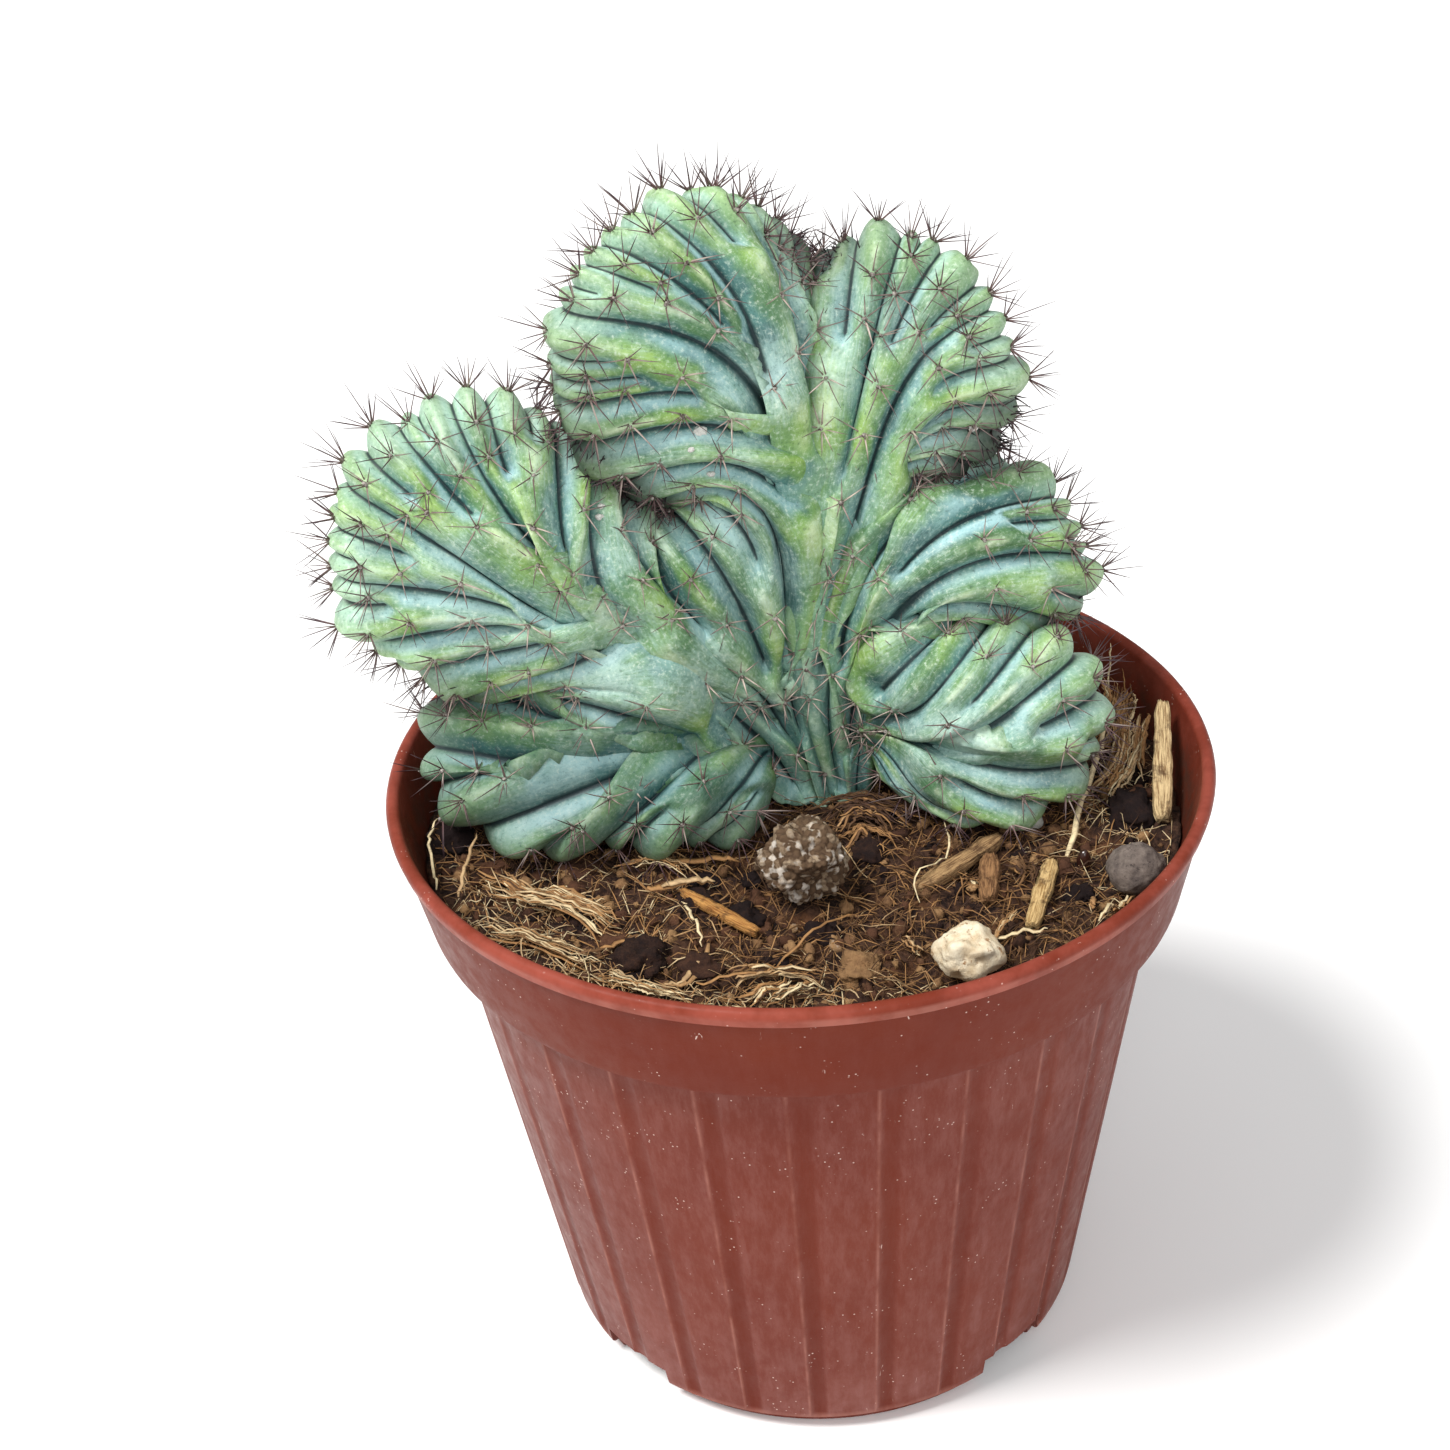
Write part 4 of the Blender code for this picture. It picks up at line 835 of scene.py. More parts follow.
def wood_material(name, dark, light):
    """Split wood with grain along the chip."""
    s = Shader(name, roughness=0.8, specular=0.2)
    grain = s.noise(1.0, 5, 0.7, s.along(5.0, 0.35))
    shade = s.mix(s.ramp(grain, 0.34, 0.62), dark, light)
    s.colour(s.mix(s.ramp(s.noise(330, 5, 0.7), 0.5, 0.64, 0.0, 0.7), shade, srgb(70, 46, 32)))
    s.bump(grain, 0.25)
    return s.made


def stone_material(name, dark, middle, light, scale, pits):
    s = Shader(name, roughness=0.9, specular=0.25)
    patches = s.ramp(s.noise(scale, 6, 0.7), 0.35, 0.65)
    shade = s.mix(patches, middle, light)
    s.colour(s.mix(s.ramp(s.noise(scale * 2.7, 6, 0.75), 0.56, 0.66), shade, dark))
    s.bump(s.noise(scale * 3, 6, 0.75), pits)
    return s.made


def pumice_material():
    """Grains from white through beige to brown, dark in the cracks between them."""
    s = Shader("pumice", roughness=0.95, specular=0.15)
    tone = s.math("ADD", s.value("grain"), s.math("MULTIPLY", s.math("SUBTRACT", s.noise(900, 5, 0.7), 0.5), 1.2))
    brown = s.mix(s.ramp(tone, -0.1, 0.45), srgb(108, 86, 66), srgb(170, 148, 122))
    shade = s.mix(s.ramp(tone, 0.45, 1.0), brown, srgb(228, 218, 206))
    s.colour(s.mix(s.math("MULTIPLY", s.value("crack"), 0.6), shade, srgb(62, 46, 38)))
    s.bump(s.noise(1900, 6, 0.75), 0.5)
    return s.made


def crest_faces(crest, index):
    """Faces of the sheet: four-sided, and towards the stem two and four columns wide."""
    columns, rows = index.shape
    half = crest.half_rows
    coarser = [int(share * half) for share in COARSER_FROM]
    steps = []
    for row in range(rows - 1):
        from_foot = min(row, rows - 2 - row)
        steps.append(1 if from_foot >= coarser[0] else 2 if from_foot >= coarser[1] else 4)
    faces = []
    for row, step in enumerate(steps):
        below = steps[row - 1] if row else step
        above = steps[row + 1] if row + 1 < rows - 1 else step
        for c in range(0, columns - 1, step):
            low, high = [c, c + step], [c + step, c]
            if below < step:
                low.insert(1, c + step // 2)
            if above < step:
                high.insert(1, c + step // 2)
            faces.append([int(index[k, row]) for k in low] + [int(index[k, row + 1]) for k in high])
    foot = range(0, columns, steps[0])
    faces.append([int(index[k, 0]) for k in reversed(foot)] + [int(index[k, -1]) for k in list(foot)[1:-1]])
    return faces


def build_crest(crest):
    """The ribbed sheet, closed over its edge and at its foot."""
    columns, rows = crest.surface.shape[:2]
    index = np.arange(columns * rows).reshape(columns, rows)
    for end in (0, -1):
        index[end] = np.where(np.arange(rows) < rows / 2, index[end], index[end][::-1])
    faces = crest_faces(crest, index)
    used = np.zeros(columns * rows, bool)
    for face in faces:
        used[face] = True
    renumbered = np.cumsum(used) - 1
    faces = [[int(renumbered[v]) for v in face] for face in faces]
    run = np.concatenate([np.zeros((columns, 1)),
                          np.cumsum(np.linalg.norm(np.diff(crest.surface, axis=1), axis=2), 1)], 1)
    strip = np.broadcast_to(crest.ribs[:, None] * 3.0, run.shape)
    values = {"ridge": crest.ridge, "tone": crest.tone, "from_edge": crest.from_edge, "eye": crest.eye,
              "strip": strip, "run": run, "upward": crest.upward, "shaded": crest.shaded}
    values = {label: numbers.ravel()[used] for label, numbers in values.items()}
    piece = mesh_piece("crest_skin", crest.surface.reshape(-1, 3)[used], faces, skin_material(), values)
    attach(piece, "root")
    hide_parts("cactus_crest")
    return piece


def build_spines(areoles, rng):
    """Curved spines in a star on every areole, darker and denser along the growing edge."""
    roots, ways, lengths, ages = [], [], [], []
    for point, outward, flow, from_edge in areoles:
        young = float(np.interp(from_edge, (0, 8, 26), (1, 0.5, 0)))
        count = int(rng.integers(8, 12)) if young > 0.5 else int(rng.integers(6, 9))
        first = rng.uniform(0, 2 * math.pi)
        across = np.cross(outward, flow)
        across /= max(np.linalg.norm(across), 1e-6)
        forward = np.cross(across, outward)
        for k in range(count):
            angle = first + 2 * math.pi * k / count + rng.normal(0, 0.2)
            central = k == 0
            lean = rng.uniform(0.0, 0.3) if central else rng.normal(1.05 - 0.3 * young, 0.18)
            sideways = across * math.cos(angle) + forward * math.sin(angle)
            way = outward * math.cos(lean) + sideways * math.sin(lean)
            roots.append(point - outward * 0.25 + sideways * 0.25)
            ways.append(way + forward * 0.12)
            size = np.interp(young, (0, 1), (4.0, 5.4)) * rng.uniform(0.7, 1.2)
            lengths.append(size * (1.15 if central else 1.0))
            ages.append(np.clip(rng.normal(0.62 - 0.75 * young, 0.22), 0, 1))
    roots, ways, lengths = np.array(roots), unit(np.array(ways)), np.array(lengths)
    curl = unit(rng.normal(size=roots.shape)) * lengths[:, None] * 0.06
    share = np.array([0, 0.35, 0.7, 1.0])
    paths = roots[:, None] + ways[:, None] * (lengths[:, None] * share)[..., None] \
        + curl[:, None] * (share ** 2)[None, :, None]
    keep = paths[:, -1, 2] > clear_height(paths[:, -1, 0], paths[:, -1, 1])
    paths, ages = paths[keep], np.array(ages)[keep]
    radii = np.array([0.125, 0.10, 0.07, 0.02])[None] * (rng.uniform(0.8, 1.2, len(paths)) + 0.4 * ages)[:, None]
    vertices, faces = tubes(paths, radii)
    values = {"age": per_vertex(ages, 12), "along": np.tile(per_vertex(share, 3), len(paths))}
    piece = mesh_piece("spines", vertices, faces, spine_material(), values)
    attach(piece, "root")
    return piece


def build_eye_spines(crest, rng):
    """Dense short dark spines where the growing edge is pinched between two lobes."""
    chance = np.maximum(crest.eye - 0.35, 0) ** 1.5
    area = np.linalg.norm(np.cross(np.gradient(crest.surface, axis=0), np.gradient(crest.surface, axis=1)), axis=2)
    chance = (chance * area).ravel()
    chosen = rng.choice(len(chance), EYE_SPINES, p=chance / chance.sum())
    roots, outward = crest.surface.reshape(-1, 3)[chosen], crest.outward.reshape(-1, 3)[chosen]
    ways = unit(outward + 0.75 * rng.normal(size=roots.shape))
    lengths = rng.uniform(1.3, 3.2, len(roots))
    share = np.array([0, 0.35, 0.7, 1.0])
    curl = rng.normal(size=roots.shape) * lengths[:, None] * 0.12
    paths = (roots - outward * 0.3)[:, None] + ways[:, None] * (lengths[:, None] * share)[..., None] \
        + curl[:, None] * (share ** 2)[None, :, None]
    keep = paths[:, -1, 2] > clear_height(paths[:, -1, 0], paths[:, -1, 1])
    paths = paths[keep]
    radii = np.array([0.13, 0.11, 0.08, 0.02])[None] * rng.uniform(0.8, 1.3, (len(paths), 1))
    vertices, faces = tubes(paths, radii)
    s = Shader("eye_horn", roughness=0.6)
    s.colour(s.mix(s.ramp(s.noise(300, 3), 0.35, 0.65), srgb(16, 12, 16), srgb(66, 46, 50)))
    piece = mesh_piece("eye_spines", vertices, faces, s.made)
    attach(piece, "root")


def clear_height(x, y):
    """Height above which the plant clears the soil and, near the wall, the pot's rim."""
    near_wall = smoothstep((np.hypot(x, y) - WALL_CLEAR_RADIUS) / 3)
    ground = soil_height(x, y) + 0.3
    return ground + (POT_HEIGHT + 0.3 - ground) * near_wall


def build_wool(areoles, rng):
    """Small woolly cushions that the spines grow from."""
    centres = np.array([point + outward * 0.05 for point, outward, _, _ in areoles])
    sizes = rng.uniform(0.28, 0.48, (len(centres), 3))
    vertices, faces, _ = scattered_lumps(centres, sizes, rng, 1, 0.35)
    piece = mesh_piece("areole_wool", vertices, faces, wool_material())
    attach(piece, "root")
    return piece


def build_specks(crest):
    """White grains of perlite that stick to the skin."""
    corners, triangles = ball(3)
    vertices = []
    for guide, from_edge, size in SPECKS:
        column = int(np.argmin(np.abs(crest.ribs / RIBS_PER_GUIDE - guide)))
        row = int(np.argmin(np.abs(crest.from_edge[column, :crest.half_rows] - from_edge)))
        rough = 1 + 0.4 * smoothed_noise(corners + guide, 0.8, 3, 3)
        middle = crest.surface[column, row] + crest.outward[column, row] * 0.3 * size
        vertices.append(middle + corners * rough[:, None] * size * np.array([1.2, 0.8, 0.9]))
    faces = triangles[None] + (np.arange(len(vertices)) * len(corners))[:, None, None]
    tones = np.full(len(vertices) * len(corners), 1.4)
    piece = mesh_piece("perlite_specks", np.concatenate(vertices), faces.reshape(-1, 3), crumb_material("perlite"),
                       {"tone": tones})
    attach(piece, "root")


def body_radius(height):
    """Outer radius of the pot's fluted wall."""
    share = (height - FOOT_HEIGHT) / (POT_HEIGHT - BAND_HEIGHT - FOOT_HEIGHT)
    return BODY_FOOT_RADIUS + (BODY_TOP_RADIUS - BODY_FOOT_RADIUS) * share


def inner_radius(height):
    """Inner radius of the pot at a height."""
    band_foot = POT_HEIGHT - BAND_HEIGHT
    if height <= band_foot:
        return body_radius(height) - WALL
    low = body_radius(band_foot) - WALL
    return low + (RIM_RADIUS - RIM_BEAD - low) * ((height - band_foot) / BAND_HEIGHT) ** 0.45


def wall_radius(height):
    """Radius of the pot's inner wall between the rings of its profile."""
    heights = INNER_HEIGHTS[::-1]
    return np.interp(height, heights, [inner_radius(h) for h in heights])


def flute_angles():
    """Angles round the pot, depth of the flutes and a raised line beside each that gets a painted highlight, from 0 to
    1.
    """
    step = 2 * math.pi / FLUTES
    offsets = np.array([-2.0, -1.65, -1.3, -0.8, 0, 0.8, 1.3, 1.65, 2.6, 4.0, 5.4, 6.8]) * FLUTE_HALF_ANGLE
    depth = [0, -0.2, 0.25, 0.85, 1, 0.85, 0.25, 0, 0, 0, 0, 0]
    line = [0, 1, 0, 0, 0, 0, 0, 0, 0, 0, 0, 0]
    angles = [FLUTE_FIRST_ANGLE + k * step + offset for k in range(FLUTES) for offset in offsets]
    return np.array(angles), np.tile(depth, FLUTES), np.tile(line, FLUTES)


def pot_profile():
    """Radius, height, share of the flutes, bead and inside of each ring, from the foot to the floor."""
    band_foot = POT_HEIGHT - BAND_HEIGHT
    rings = [(FOOT_RADIUS - 0.5, 0, 0, 0, 0), (FOOT_RADIUS, 0.4, 0, 0, 0), (FOOT_RADIUS, FOOT_HEIGHT - 0.6, 0, 0, 0),
             (FOOT_RADIUS + 0.3, FOOT_HEIGHT - 0.2, 0, 0, 0), (BODY_FOOT_RADIUS - 0.4, FOOT_HEIGHT, 0, 0, 0),
             (BODY_FOOT_RADIUS, FOOT_HEIGHT + 0.4, 0, 0, 0)]
    for height in np.linspace(FOOT_HEIGHT + 1.5, band_foot - 1.5, 14):
        share = (height - FOOT_HEIGHT) / (band_foot - FOOT_HEIGHT)
        rings.append((body_radius(height), height, 1 - 0.4 * share, 0, 0))
    rings += [(BODY_TOP_RADIUS, band_foot - 0.4, 0, 0, 0), (BODY_TOP_RADIUS + 0.6, band_foot - 0.05, 0, 0, 0),
              (BAND_FOOT_RADIUS - 0.8, band_foot, 0, 0, 0), (BAND_FOOT_RADIUS - 0.2, band_foot + 0.2, 0, 0, 0),
              (BAND_FOOT_RADIUS, band_foot + 0.8, 0, 0, 0)]
    for share in (0.3, 0.6, 0.9):
        rings.append((BAND_FOOT_RADIUS + (RIM_RADIUS - 1.0 - BAND_FOOT_RADIUS) * share,
                      band_foot + 0.8 + (BAND_HEIGHT - 3.8) * share, 0, 0, 0))
    rings += [(RIM_RADIUS - 1.0, POT_HEIGHT - 3.0, 0, 0, 0), (RIM_RADIUS - 0.35, POT_HEIGHT - 2.5, 0, 1, 0)]
    for angle in np.radians(np.linspace(-20, 200, 9)):
        rings.append((RIM_RADIUS - 1.0 + 1.0 * math.cos(angle), POT_HEIGHT - 1.1 + 1.1 * math.sin(angle), 0, 1, 0))
    for height in (*INNER_HEIGHTS[:2], 88.0, 86.0, *INNER_HEIGHTS[2:]):
        rings.append((inner_radius(height), height, 0, 0, 1))
    rings += [(FOOT_RADIUS - WALL, FOOT_HEIGHT + WALL - 0.3, 0, 0, 1), (FOOT_RADIUS - WALL, WALL, 0, 0, 1)]
    return rings


def build_pot():
    """The fluted pot with its rim bead, band, stepped-in base and drain notches."""
    angles, flutes, lines = flute_angles()
    vertices, height, bead, inside, flute, wear_and_highlight = [], [], [], [], [], []
    rings = pot_profile()
    for radius, level, share, on_bead, within in rings:
        r = radius - FLUTE_DEPTH * share * flutes
        vertices.append(np.stack([r * np.cos(angles), r * np.sin(angles), np.full(len(angles), level)], -1))
        height += [level] * len(angles)
        bead += [on_bead] * len(angles)
        inside += [within] * len(angles)
        flute += list(np.clip(flutes, 0, 1) * min(share * 1.3, 1))
        # Pale lines: painted highlight beside each flute, wear on the foot edge and the rim bead's lower edge
        wear_and_highlight += list(lines * (share > 0) + (abs(level - FOOT_HEIGHT - 0.2) < 0.25 and radius > FOOT_RADIUS)
                     + (on_bead and abs(level - POT_HEIGHT + 2.0) < 0.55 and radius > RIM_RADIUS - 0.5))
    count = len(angles)
    index = np.arange(count * len(rings)).reshape(len(rings), count)
    nxt = np.roll(index, -1, axis=1)
    faces = np.stack([index[:-1], nxt[:-1], nxt[1:], index[1:]], -1).reshape(-1, 4).tolist()
    faces += [index[0, ::-1].tolist(), index[-1].tolist()]
    values = {"height": height, "bead": bead, "inside": inside, "flute": flute, "wear_and_highlight": wear_and_highlight}
    pot = mesh_piece("pot_shell", np.concatenate(vertices), faces, pot_material(), values)
    for k in range(DRAIN_CUTS):
        angle = DRAIN_FIRST_ANGLE + k * 2 * math.pi / DRAIN_CUTS
        bpy.ops.mesh.primitive_cube_add(size=1)
        block = bpy.context.object
        block.scale = (DRAIN_DEPTH * MM, DRAIN_WIDTH * MM, 2 * DRAIN_HEIGHT * MM)
        reach = (FOOT_RADIUS - 1.0) * MM
        block.location = (reach * math.cos(angle), reach * math.sin(angle), 0)
        block.rotation_euler = (0, 0, angle)
        modifier = pot.modifiers.new("drain", "BOOLEAN")
        modifier.object = block
        modifier.operation = "DIFFERENCE"
        modifier.solver = "EXACT"
        apply_modifiers(pot)
        bpy.data.objects.remove(block)
    pot.data.shade_smooth()
    pot.data.set_sharp_from_angle(angle=math.radians(32))
    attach(pot, "root")
    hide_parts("pot")
    return pot


def apply_modifiers(obj):
    evaluated = obj.evaluated_get(bpy.context.evaluated_depsgraph_get())
    mesh = bpy.data.meshes.new_from_object(evaluated)
    obj.modifiers.clear()
    obj.data = mesh


def soil_surface(x, y):
    """Height of the soil with its small lumps."""
    points = np.stack([x, y, np.zeros_like(x)], -1)
    lumps = 0.9 * smoothed_noise(points, 7.0, 1, 3) + 0.7 * smoothed_noise(points, 2.2, 2, 5)
    from_stem = np.hypot((x - STEM_CENTRE[0]) / PIT_RADII[0], (y - STEM_CENTRE[1]) / PIT_RADII[1])
    return soil_height(x, y) + np.clip(lumps, -1.2, 0.8) * smoothstep((from_stem - 1) / 0.5)


def build_soil():
    """Peat that fills the pot, with a pit for the stem, under the loose bits."""
    angles = np.arange(SOIL_SPOKES) * 2 * math.pi / SOIL_SPOKES
    share = np.linspace(1, 0.01, SOIL_RINGS)[:, None]
    x0 = wall_radius(SOIL_LEVEL) * share * np.cos(angles)
    y0 = wall_radius(SOIL_LEVEL) * share * np.sin(angles)
    z = soil_surface(x0, y0)
    radius = (wall_radius(z) - SOIL_GAP) * share
    x, y = radius * np.cos(angles), radius * np.sin(angles)
    from_stem = np.hypot((x - STEM_CENTRE[0]) / PIT_RADII[0], (y - STEM_CENTRE[1]) / PIT_RADII[1])
    z = z - 12.5 * smoothstep((1.0 - from_stem) / 0.10)
    foot = FOOT_RADIUS - WALL - SOIL_GAP
    step = FOOT_HEIGHT + WALL + SOIL_GAP
    side = [(foot, WALL + SOIL_GAP), (foot, step), (wall_radius(step + 0.1) - SOIL_GAP, step + 0.1)]
    side += [(wall_radius(h) - SOIL_GAP, h) for h in (30.0, 55.0, POT_HEIGHT - BAND_HEIGHT)]
    rings = [np.stack([r * np.cos(angles), r * np.sin(angles), np.full(SOIL_SPOKES, h)], -1) for r, h in side]
    rings += [np.stack([x[k], y[k], z[k]], -1) for k in range(SOIL_RINGS)]
    index = np.arange(SOIL_SPOKES * len(rings)).reshape(len(rings), SOIL_SPOKES)
    nxt = np.roll(index, -1, axis=1)
    faces = np.stack([index[:-1], nxt[:-1], nxt[1:], index[1:]], -1).reshape(-1, 4).tolist()
    faces += [index[0, ::-1].tolist(), index[-1].tolist()]
    piece = mesh_piece("peat", np.concatenate(rings), faces, peat_material())
    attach(piece, "root")
    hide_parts("soil")
    return piece


def open_ground(count, rng, margin=2.0):
    """Random places on the soil that are clear of the stem and the wall."""
    places = []
    while len(places) < count:
        radius = (wall_radius(SOIL_LEVEL) - margin) * math.sqrt(rng.random())
        angle = rng.uniform(0, 2 * math.pi)
        x, y = radius * math.cos(angle), radius * math.sin(angle)
        if math.hypot((x - STEM_CENTRE[0]) / PIT_RADII[0], (y - STEM_CENTRE[1]) / PIT_RADII[1]) > 1.15:
            places.append((x, y))
    return np.array(places)


def build_crumbs(rng):
    """Loose peat crumbs of many sizes."""
    places = open_ground(CRUMBS, rng)
    heights = soil_surface(places[:, 0], places[:, 1])
    size = rng.uniform(0.25, 0.9, CRUMBS) ** 1.6 * 1.3
    centres = np.column_stack([places, heights + size * 0.3])
    sizes = size[:, None] * rng.uniform(0.7, 1.2, (CRUMBS, 3))
    vertices, faces, corners = scattered_lumps(centres, sizes, rng, 2, 0.35)
    piece = mesh_piece("peat_crumbs", vertices, faces, crumb_material(),
                       {"tone": per_vertex(rng.random(CRUMBS), corners)})
    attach(piece, "root")


def lying_paths(starts, headings, lengths, steps, wander, lift, rng):
    """Wandering paths on the soil, which rise and dip a little."""
    count = len(starts)
    turn = np.cumsum(rng.normal(0, wander, (count, steps)), 1) + headings[:, None]
    stride = (lengths / (steps - 1))[:, None]
    x = starts[:, :1] + np.cumsum(np.cos(turn) * stride, 1)
    y = starts[:, 1:] + np.cumsum(np.sin(turn) * stride, 1)
    reach = np.hypot(x, y)
    limit = wall_radius(SOIL_LEVEL + 2) - 1.5
    shrink = np.minimum(1, limit / np.maximum(reach, 1e-6))
    x, y = x * shrink, y * shrink
    wave = np.sin(np.linspace(0, math.pi, steps)[None] * rng.uniform(0.5, 2, (count, 1))
                  + rng.uniform(0, math.pi, (count, 1)))
    z = soil_surface(x, y) + lift[:, None] * (0.35 + 0.65 * wave)
    return np.stack([x, y, z], -1)


def ground_tone(x, y):
    """How golden the fibres are: most at the left, the front and the right wall."""
    left = smoothstep((-x - 8) / 22) * smoothstep((-y - 4) / 12)
    front = smoothstep((-y - 36) / 8)
    right = smoothstep((x - 38) / 8)
    return np.clip(left + front + right, 0, 1)


def build_fibres(name, count, length, thickness, lift, wander, points, made_of, rng):
    """Dry fibres strewn over the soil."""
    starts = open_ground(count, rng)
    headings = rng.uniform(0, 2 * math.pi, count)
    lengths = rng.uniform(*length, count)
    paths = lying_paths(starts, headings, lengths, points, wander, rng.uniform(*lift, count), rng)
    taper = np.interp(np.linspace(0, 1, points), (0, 0.2, 0.7, 1), (0.5, 1, 0.9, 0.3))
    radii = rng.uniform(*thickness, (count, 1)) * taper[None]
    vertices, faces = tubes(paths, radii, 3)
    tone = np.clip(rng.normal(0.28, 0.2, count) + 0.42 * ground_tone(*starts.T), 0, 1)
    piece = mesh_piece(name, vertices, faces, made_of, {"tone": per_vertex(tone, 3 * points)})
    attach(piece, "root")


def build_straws(made_of, rng):
    """Straw, shreds and roots at their places: each a bunch of flat strips that fray at both ends."""
    share = np.linspace(0, 1, STRAW_POINTS)
    paths, radii, tones = [], [], []
    for places, width, strips, tone in STRAWS:
        for _ in range(strips if strips <= 2 else 2 * strips):
            first, last = (0.0, 1.0) if strips == 1 else (rng.uniform(0, 0.45), rng.uniform(0.55, 1))
            line = catmull_rom(places, (first + (last - first) * share) * (len(places) - 1))
            along = unit(np.gradient(line, axis=0))
            side = unit(np.cross(along, [0, 0, 1.0]) + [1e-9, 0, 0])
            aside = 0 if strips == 1 else rng.uniform(-0.5, 0.5) * width
            flare = 1 + 1.1 * np.abs(2 * (first + (last - first) * share) - 1) ** 3
            line = line + side * (aside * flare)[:, None] + rng.normal(0, 0.12, line.shape)
            line[:, 2] += soil_surface(line[:, 0], line[:, 1]) + rng.uniform(-0.6, 0.6) * (strips > 1)
            reach = np.hypot(line[:, 0], line[:, 1])
            line[:, :2] *= np.minimum(1, (wall_radius(88) - 1.2) / reach)[:, None]
            half = width / 2 if strips <= 2 else rng.uniform(0.09, 0.3)
            paths.append(line)
            radii.append(half * np.interp(share, (0, 0.12, 0.8, 1), (0.45, 1, 0.85, 0.25)))
            tones.append(np.clip(tone + rng.normal(0, 0.2), 0, 1))
    vertices, faces = tubes(np.array(paths), np.array(radii), 5, 0.42)
    piece = mesh_piece("straws", vertices, faces, made_of, {"tone": per_vertex(tones, 5 * STRAW_POINTS)})
    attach(piece, "root")


def build_clods(rng):
    """Clods of peat and lumps of bark, half buried."""
    corners, triangles = ball(4)
    places = [(x, y, radius, tone) for (x, y), radius, tone in CLODS]
    for x, y in open_ground(SMALL_CLODS, rng, 4.0):
        places.append((x, y, rng.uniform(0.8, 2.4), rng.uniform(-0.1, 0.5)))
    vertices, tones = [], []
    for number, (x, y, radius, tone) in enumerate(places):
        stretch = np.array([rng.uniform(0.8, 1.2), rng.uniform(0.8, 1.2), 0.6]) * radius
        rough = 1 + 0.5 * smoothed_noise(corners + 7 * number, 0.7, 11, 5)
        rough += 0.16 * np.abs(smoothed_noise(corners * 3 + 5 * number, 0.7, 12, 3))
        middle = np.array([x, y, float(soil_surface(np.array(x), np.array(y))) + 0.1 * radius])
        vertices.append(middle + corners * stretch * rough[:, None])
        tones += [tone] * len(corners)
    faces = triangles[None] + (np.arange(len(places)) * len(corners))[:, None, None]
    piece = mesh_piece("peat_clods", np.concatenate(vertices), faces.reshape(-1, 3), crumb_material("peat_clod"),
                       {"tone": tones})
    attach(piece, "root")


def build_chip(name):
    """A split chip of wood with raised grain and broken ends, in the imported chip's place."""
    start, end, width, thickness, lift, dark, light = CHIPS[name]
    number = list(CHIPS).index(name) + 20
    a, b = np.array(start), np.array(end)
    length = np.linalg.norm(b - a)
    along = (b - a) / length
    side = np.array([-along[1], along[0]])
    under = [a + (b - a) * k / 8 + side * reach for k in range(9) for reach in (-1.5, 0, 1.5)]
    base = max(float(soil_height(*place)) for place in under) + CHIP_GAP
    turn = np.linspace(0, 2 * math.pi, 40, endpoint=False)
    share = np.linspace(0, 1, 36)
    spread = np.interp(share, (0, 0.12, 0.55, 0.9, 1), (0.62, 0.95, 1.0, 0.85, 0.6))
    box = 1 / (np.abs(np.cos(turn)) ** 5 + np.abs(np.sin(turn)) ** 5) ** 0.2
    ring = np.stack([np.cos(turn), np.sin(turn), np.zeros_like(turn)], -1)
    splits = smoothed_noise(ring * 6, 1.0, number, 3)
    grid = ring[None] * 6 + np.stack([0 * share, 0 * share, share * length * 0.12], -1)[:, None]
    grain = 1 + 0.2 * splits[None] + 0.12 * smoothed_noise(grid, 1.0, number + 1, 4)
    grain = grain + 0.25 * smoothed_noise(np.stack([share * 4, 0 * share, 0 * share], -1), 1.0, number + 3, 3)[:, None]
    across = 0.5 * width * spread[:, None] * (box * np.cos(turn))[None] * grain
    upward = 0.5 * thickness * (1 + (0.9 + 0.1 * spread)[:, None] * (box * np.sin(turn))[None] * grain)
    broken = 0.9 * smoothed_noise(ring * 9, 1.0, number + 2, 3) + 0.3
    lengthwise = share[:, None] * length - np.where(share[:, None] < 0.5, -1, 1) * np.abs(broken)[None] \
        * (np.abs(2 * share[:, None] - 1) ** 3)
    x = a[0] + along[0] * lengthwise + side[0] * across
    y = a[1] + along[1] * lengthwise + side[1] * across
    z = base + lift * lengthwise / length + upward
    index = np.arange(x.size).reshape(x.shape)
    nxt = np.roll(index, -1, axis=1)
    faces = np.stack([index[:-1], nxt[:-1], nxt[1:], index[1:]], -1).reshape(-1, 4).tolist()
    middles = [np.stack([x[k], y[k], z[k]], -1).mean(0) for k in (0, -1)]
    count = x.size
    faces += [(count, int(nxt[0, k]), int(index[0, k])) for k in range(len(turn))]
    faces += [(count + 1, int(index[-1, k]), int(nxt[-1, k])) for k in range(len(turn))]
    vertices = np.concatenate([np.stack([x, y, z], -1).reshape(-1, 3), middles])
    strip = np.concatenate([np.broadcast_to(turn * width * 0.5, x.shape).ravel(), [0, 0]])
    run = np.concatenate([lengthwise.ravel(), [0, length]])
    piece = mesh_piece(name + "_wood", vertices, faces, wood_material(name + "_wood", srgb(*dark), srgb(*light)),
                       {"strip": strip, "run": run})
    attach(piece, "root")
    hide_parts(name)


def build_seed():
    """A dark glossy seed that stands in the fibres."""
    corners, triangles = ball(4)
    stretch = np.array([1.1, 1.0, 2.0]) * (1 - 0.22 * corners[:, 2:3])
    points = corners * stretch * (1 - 0.06 * np.abs(corners[:, :1]) ** 0.5)
    x, y = 40.2, -13.6
    points = points + np.array([x, y, float(soil_surface(np.array(x), np.array(y))) + 1.6])
    s = Shader("seed_coat", roughness=0.18, specular=0.6)
    s.colour(s.mix(s.noise(400, 3), srgb(26, 14, 12), srgb(64, 36, 28)))
    s.bump(s.noise(1200, 3), 0.05)
    piece = mesh_piece("seed", points, triangles, s.made)
    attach(piece, "root")


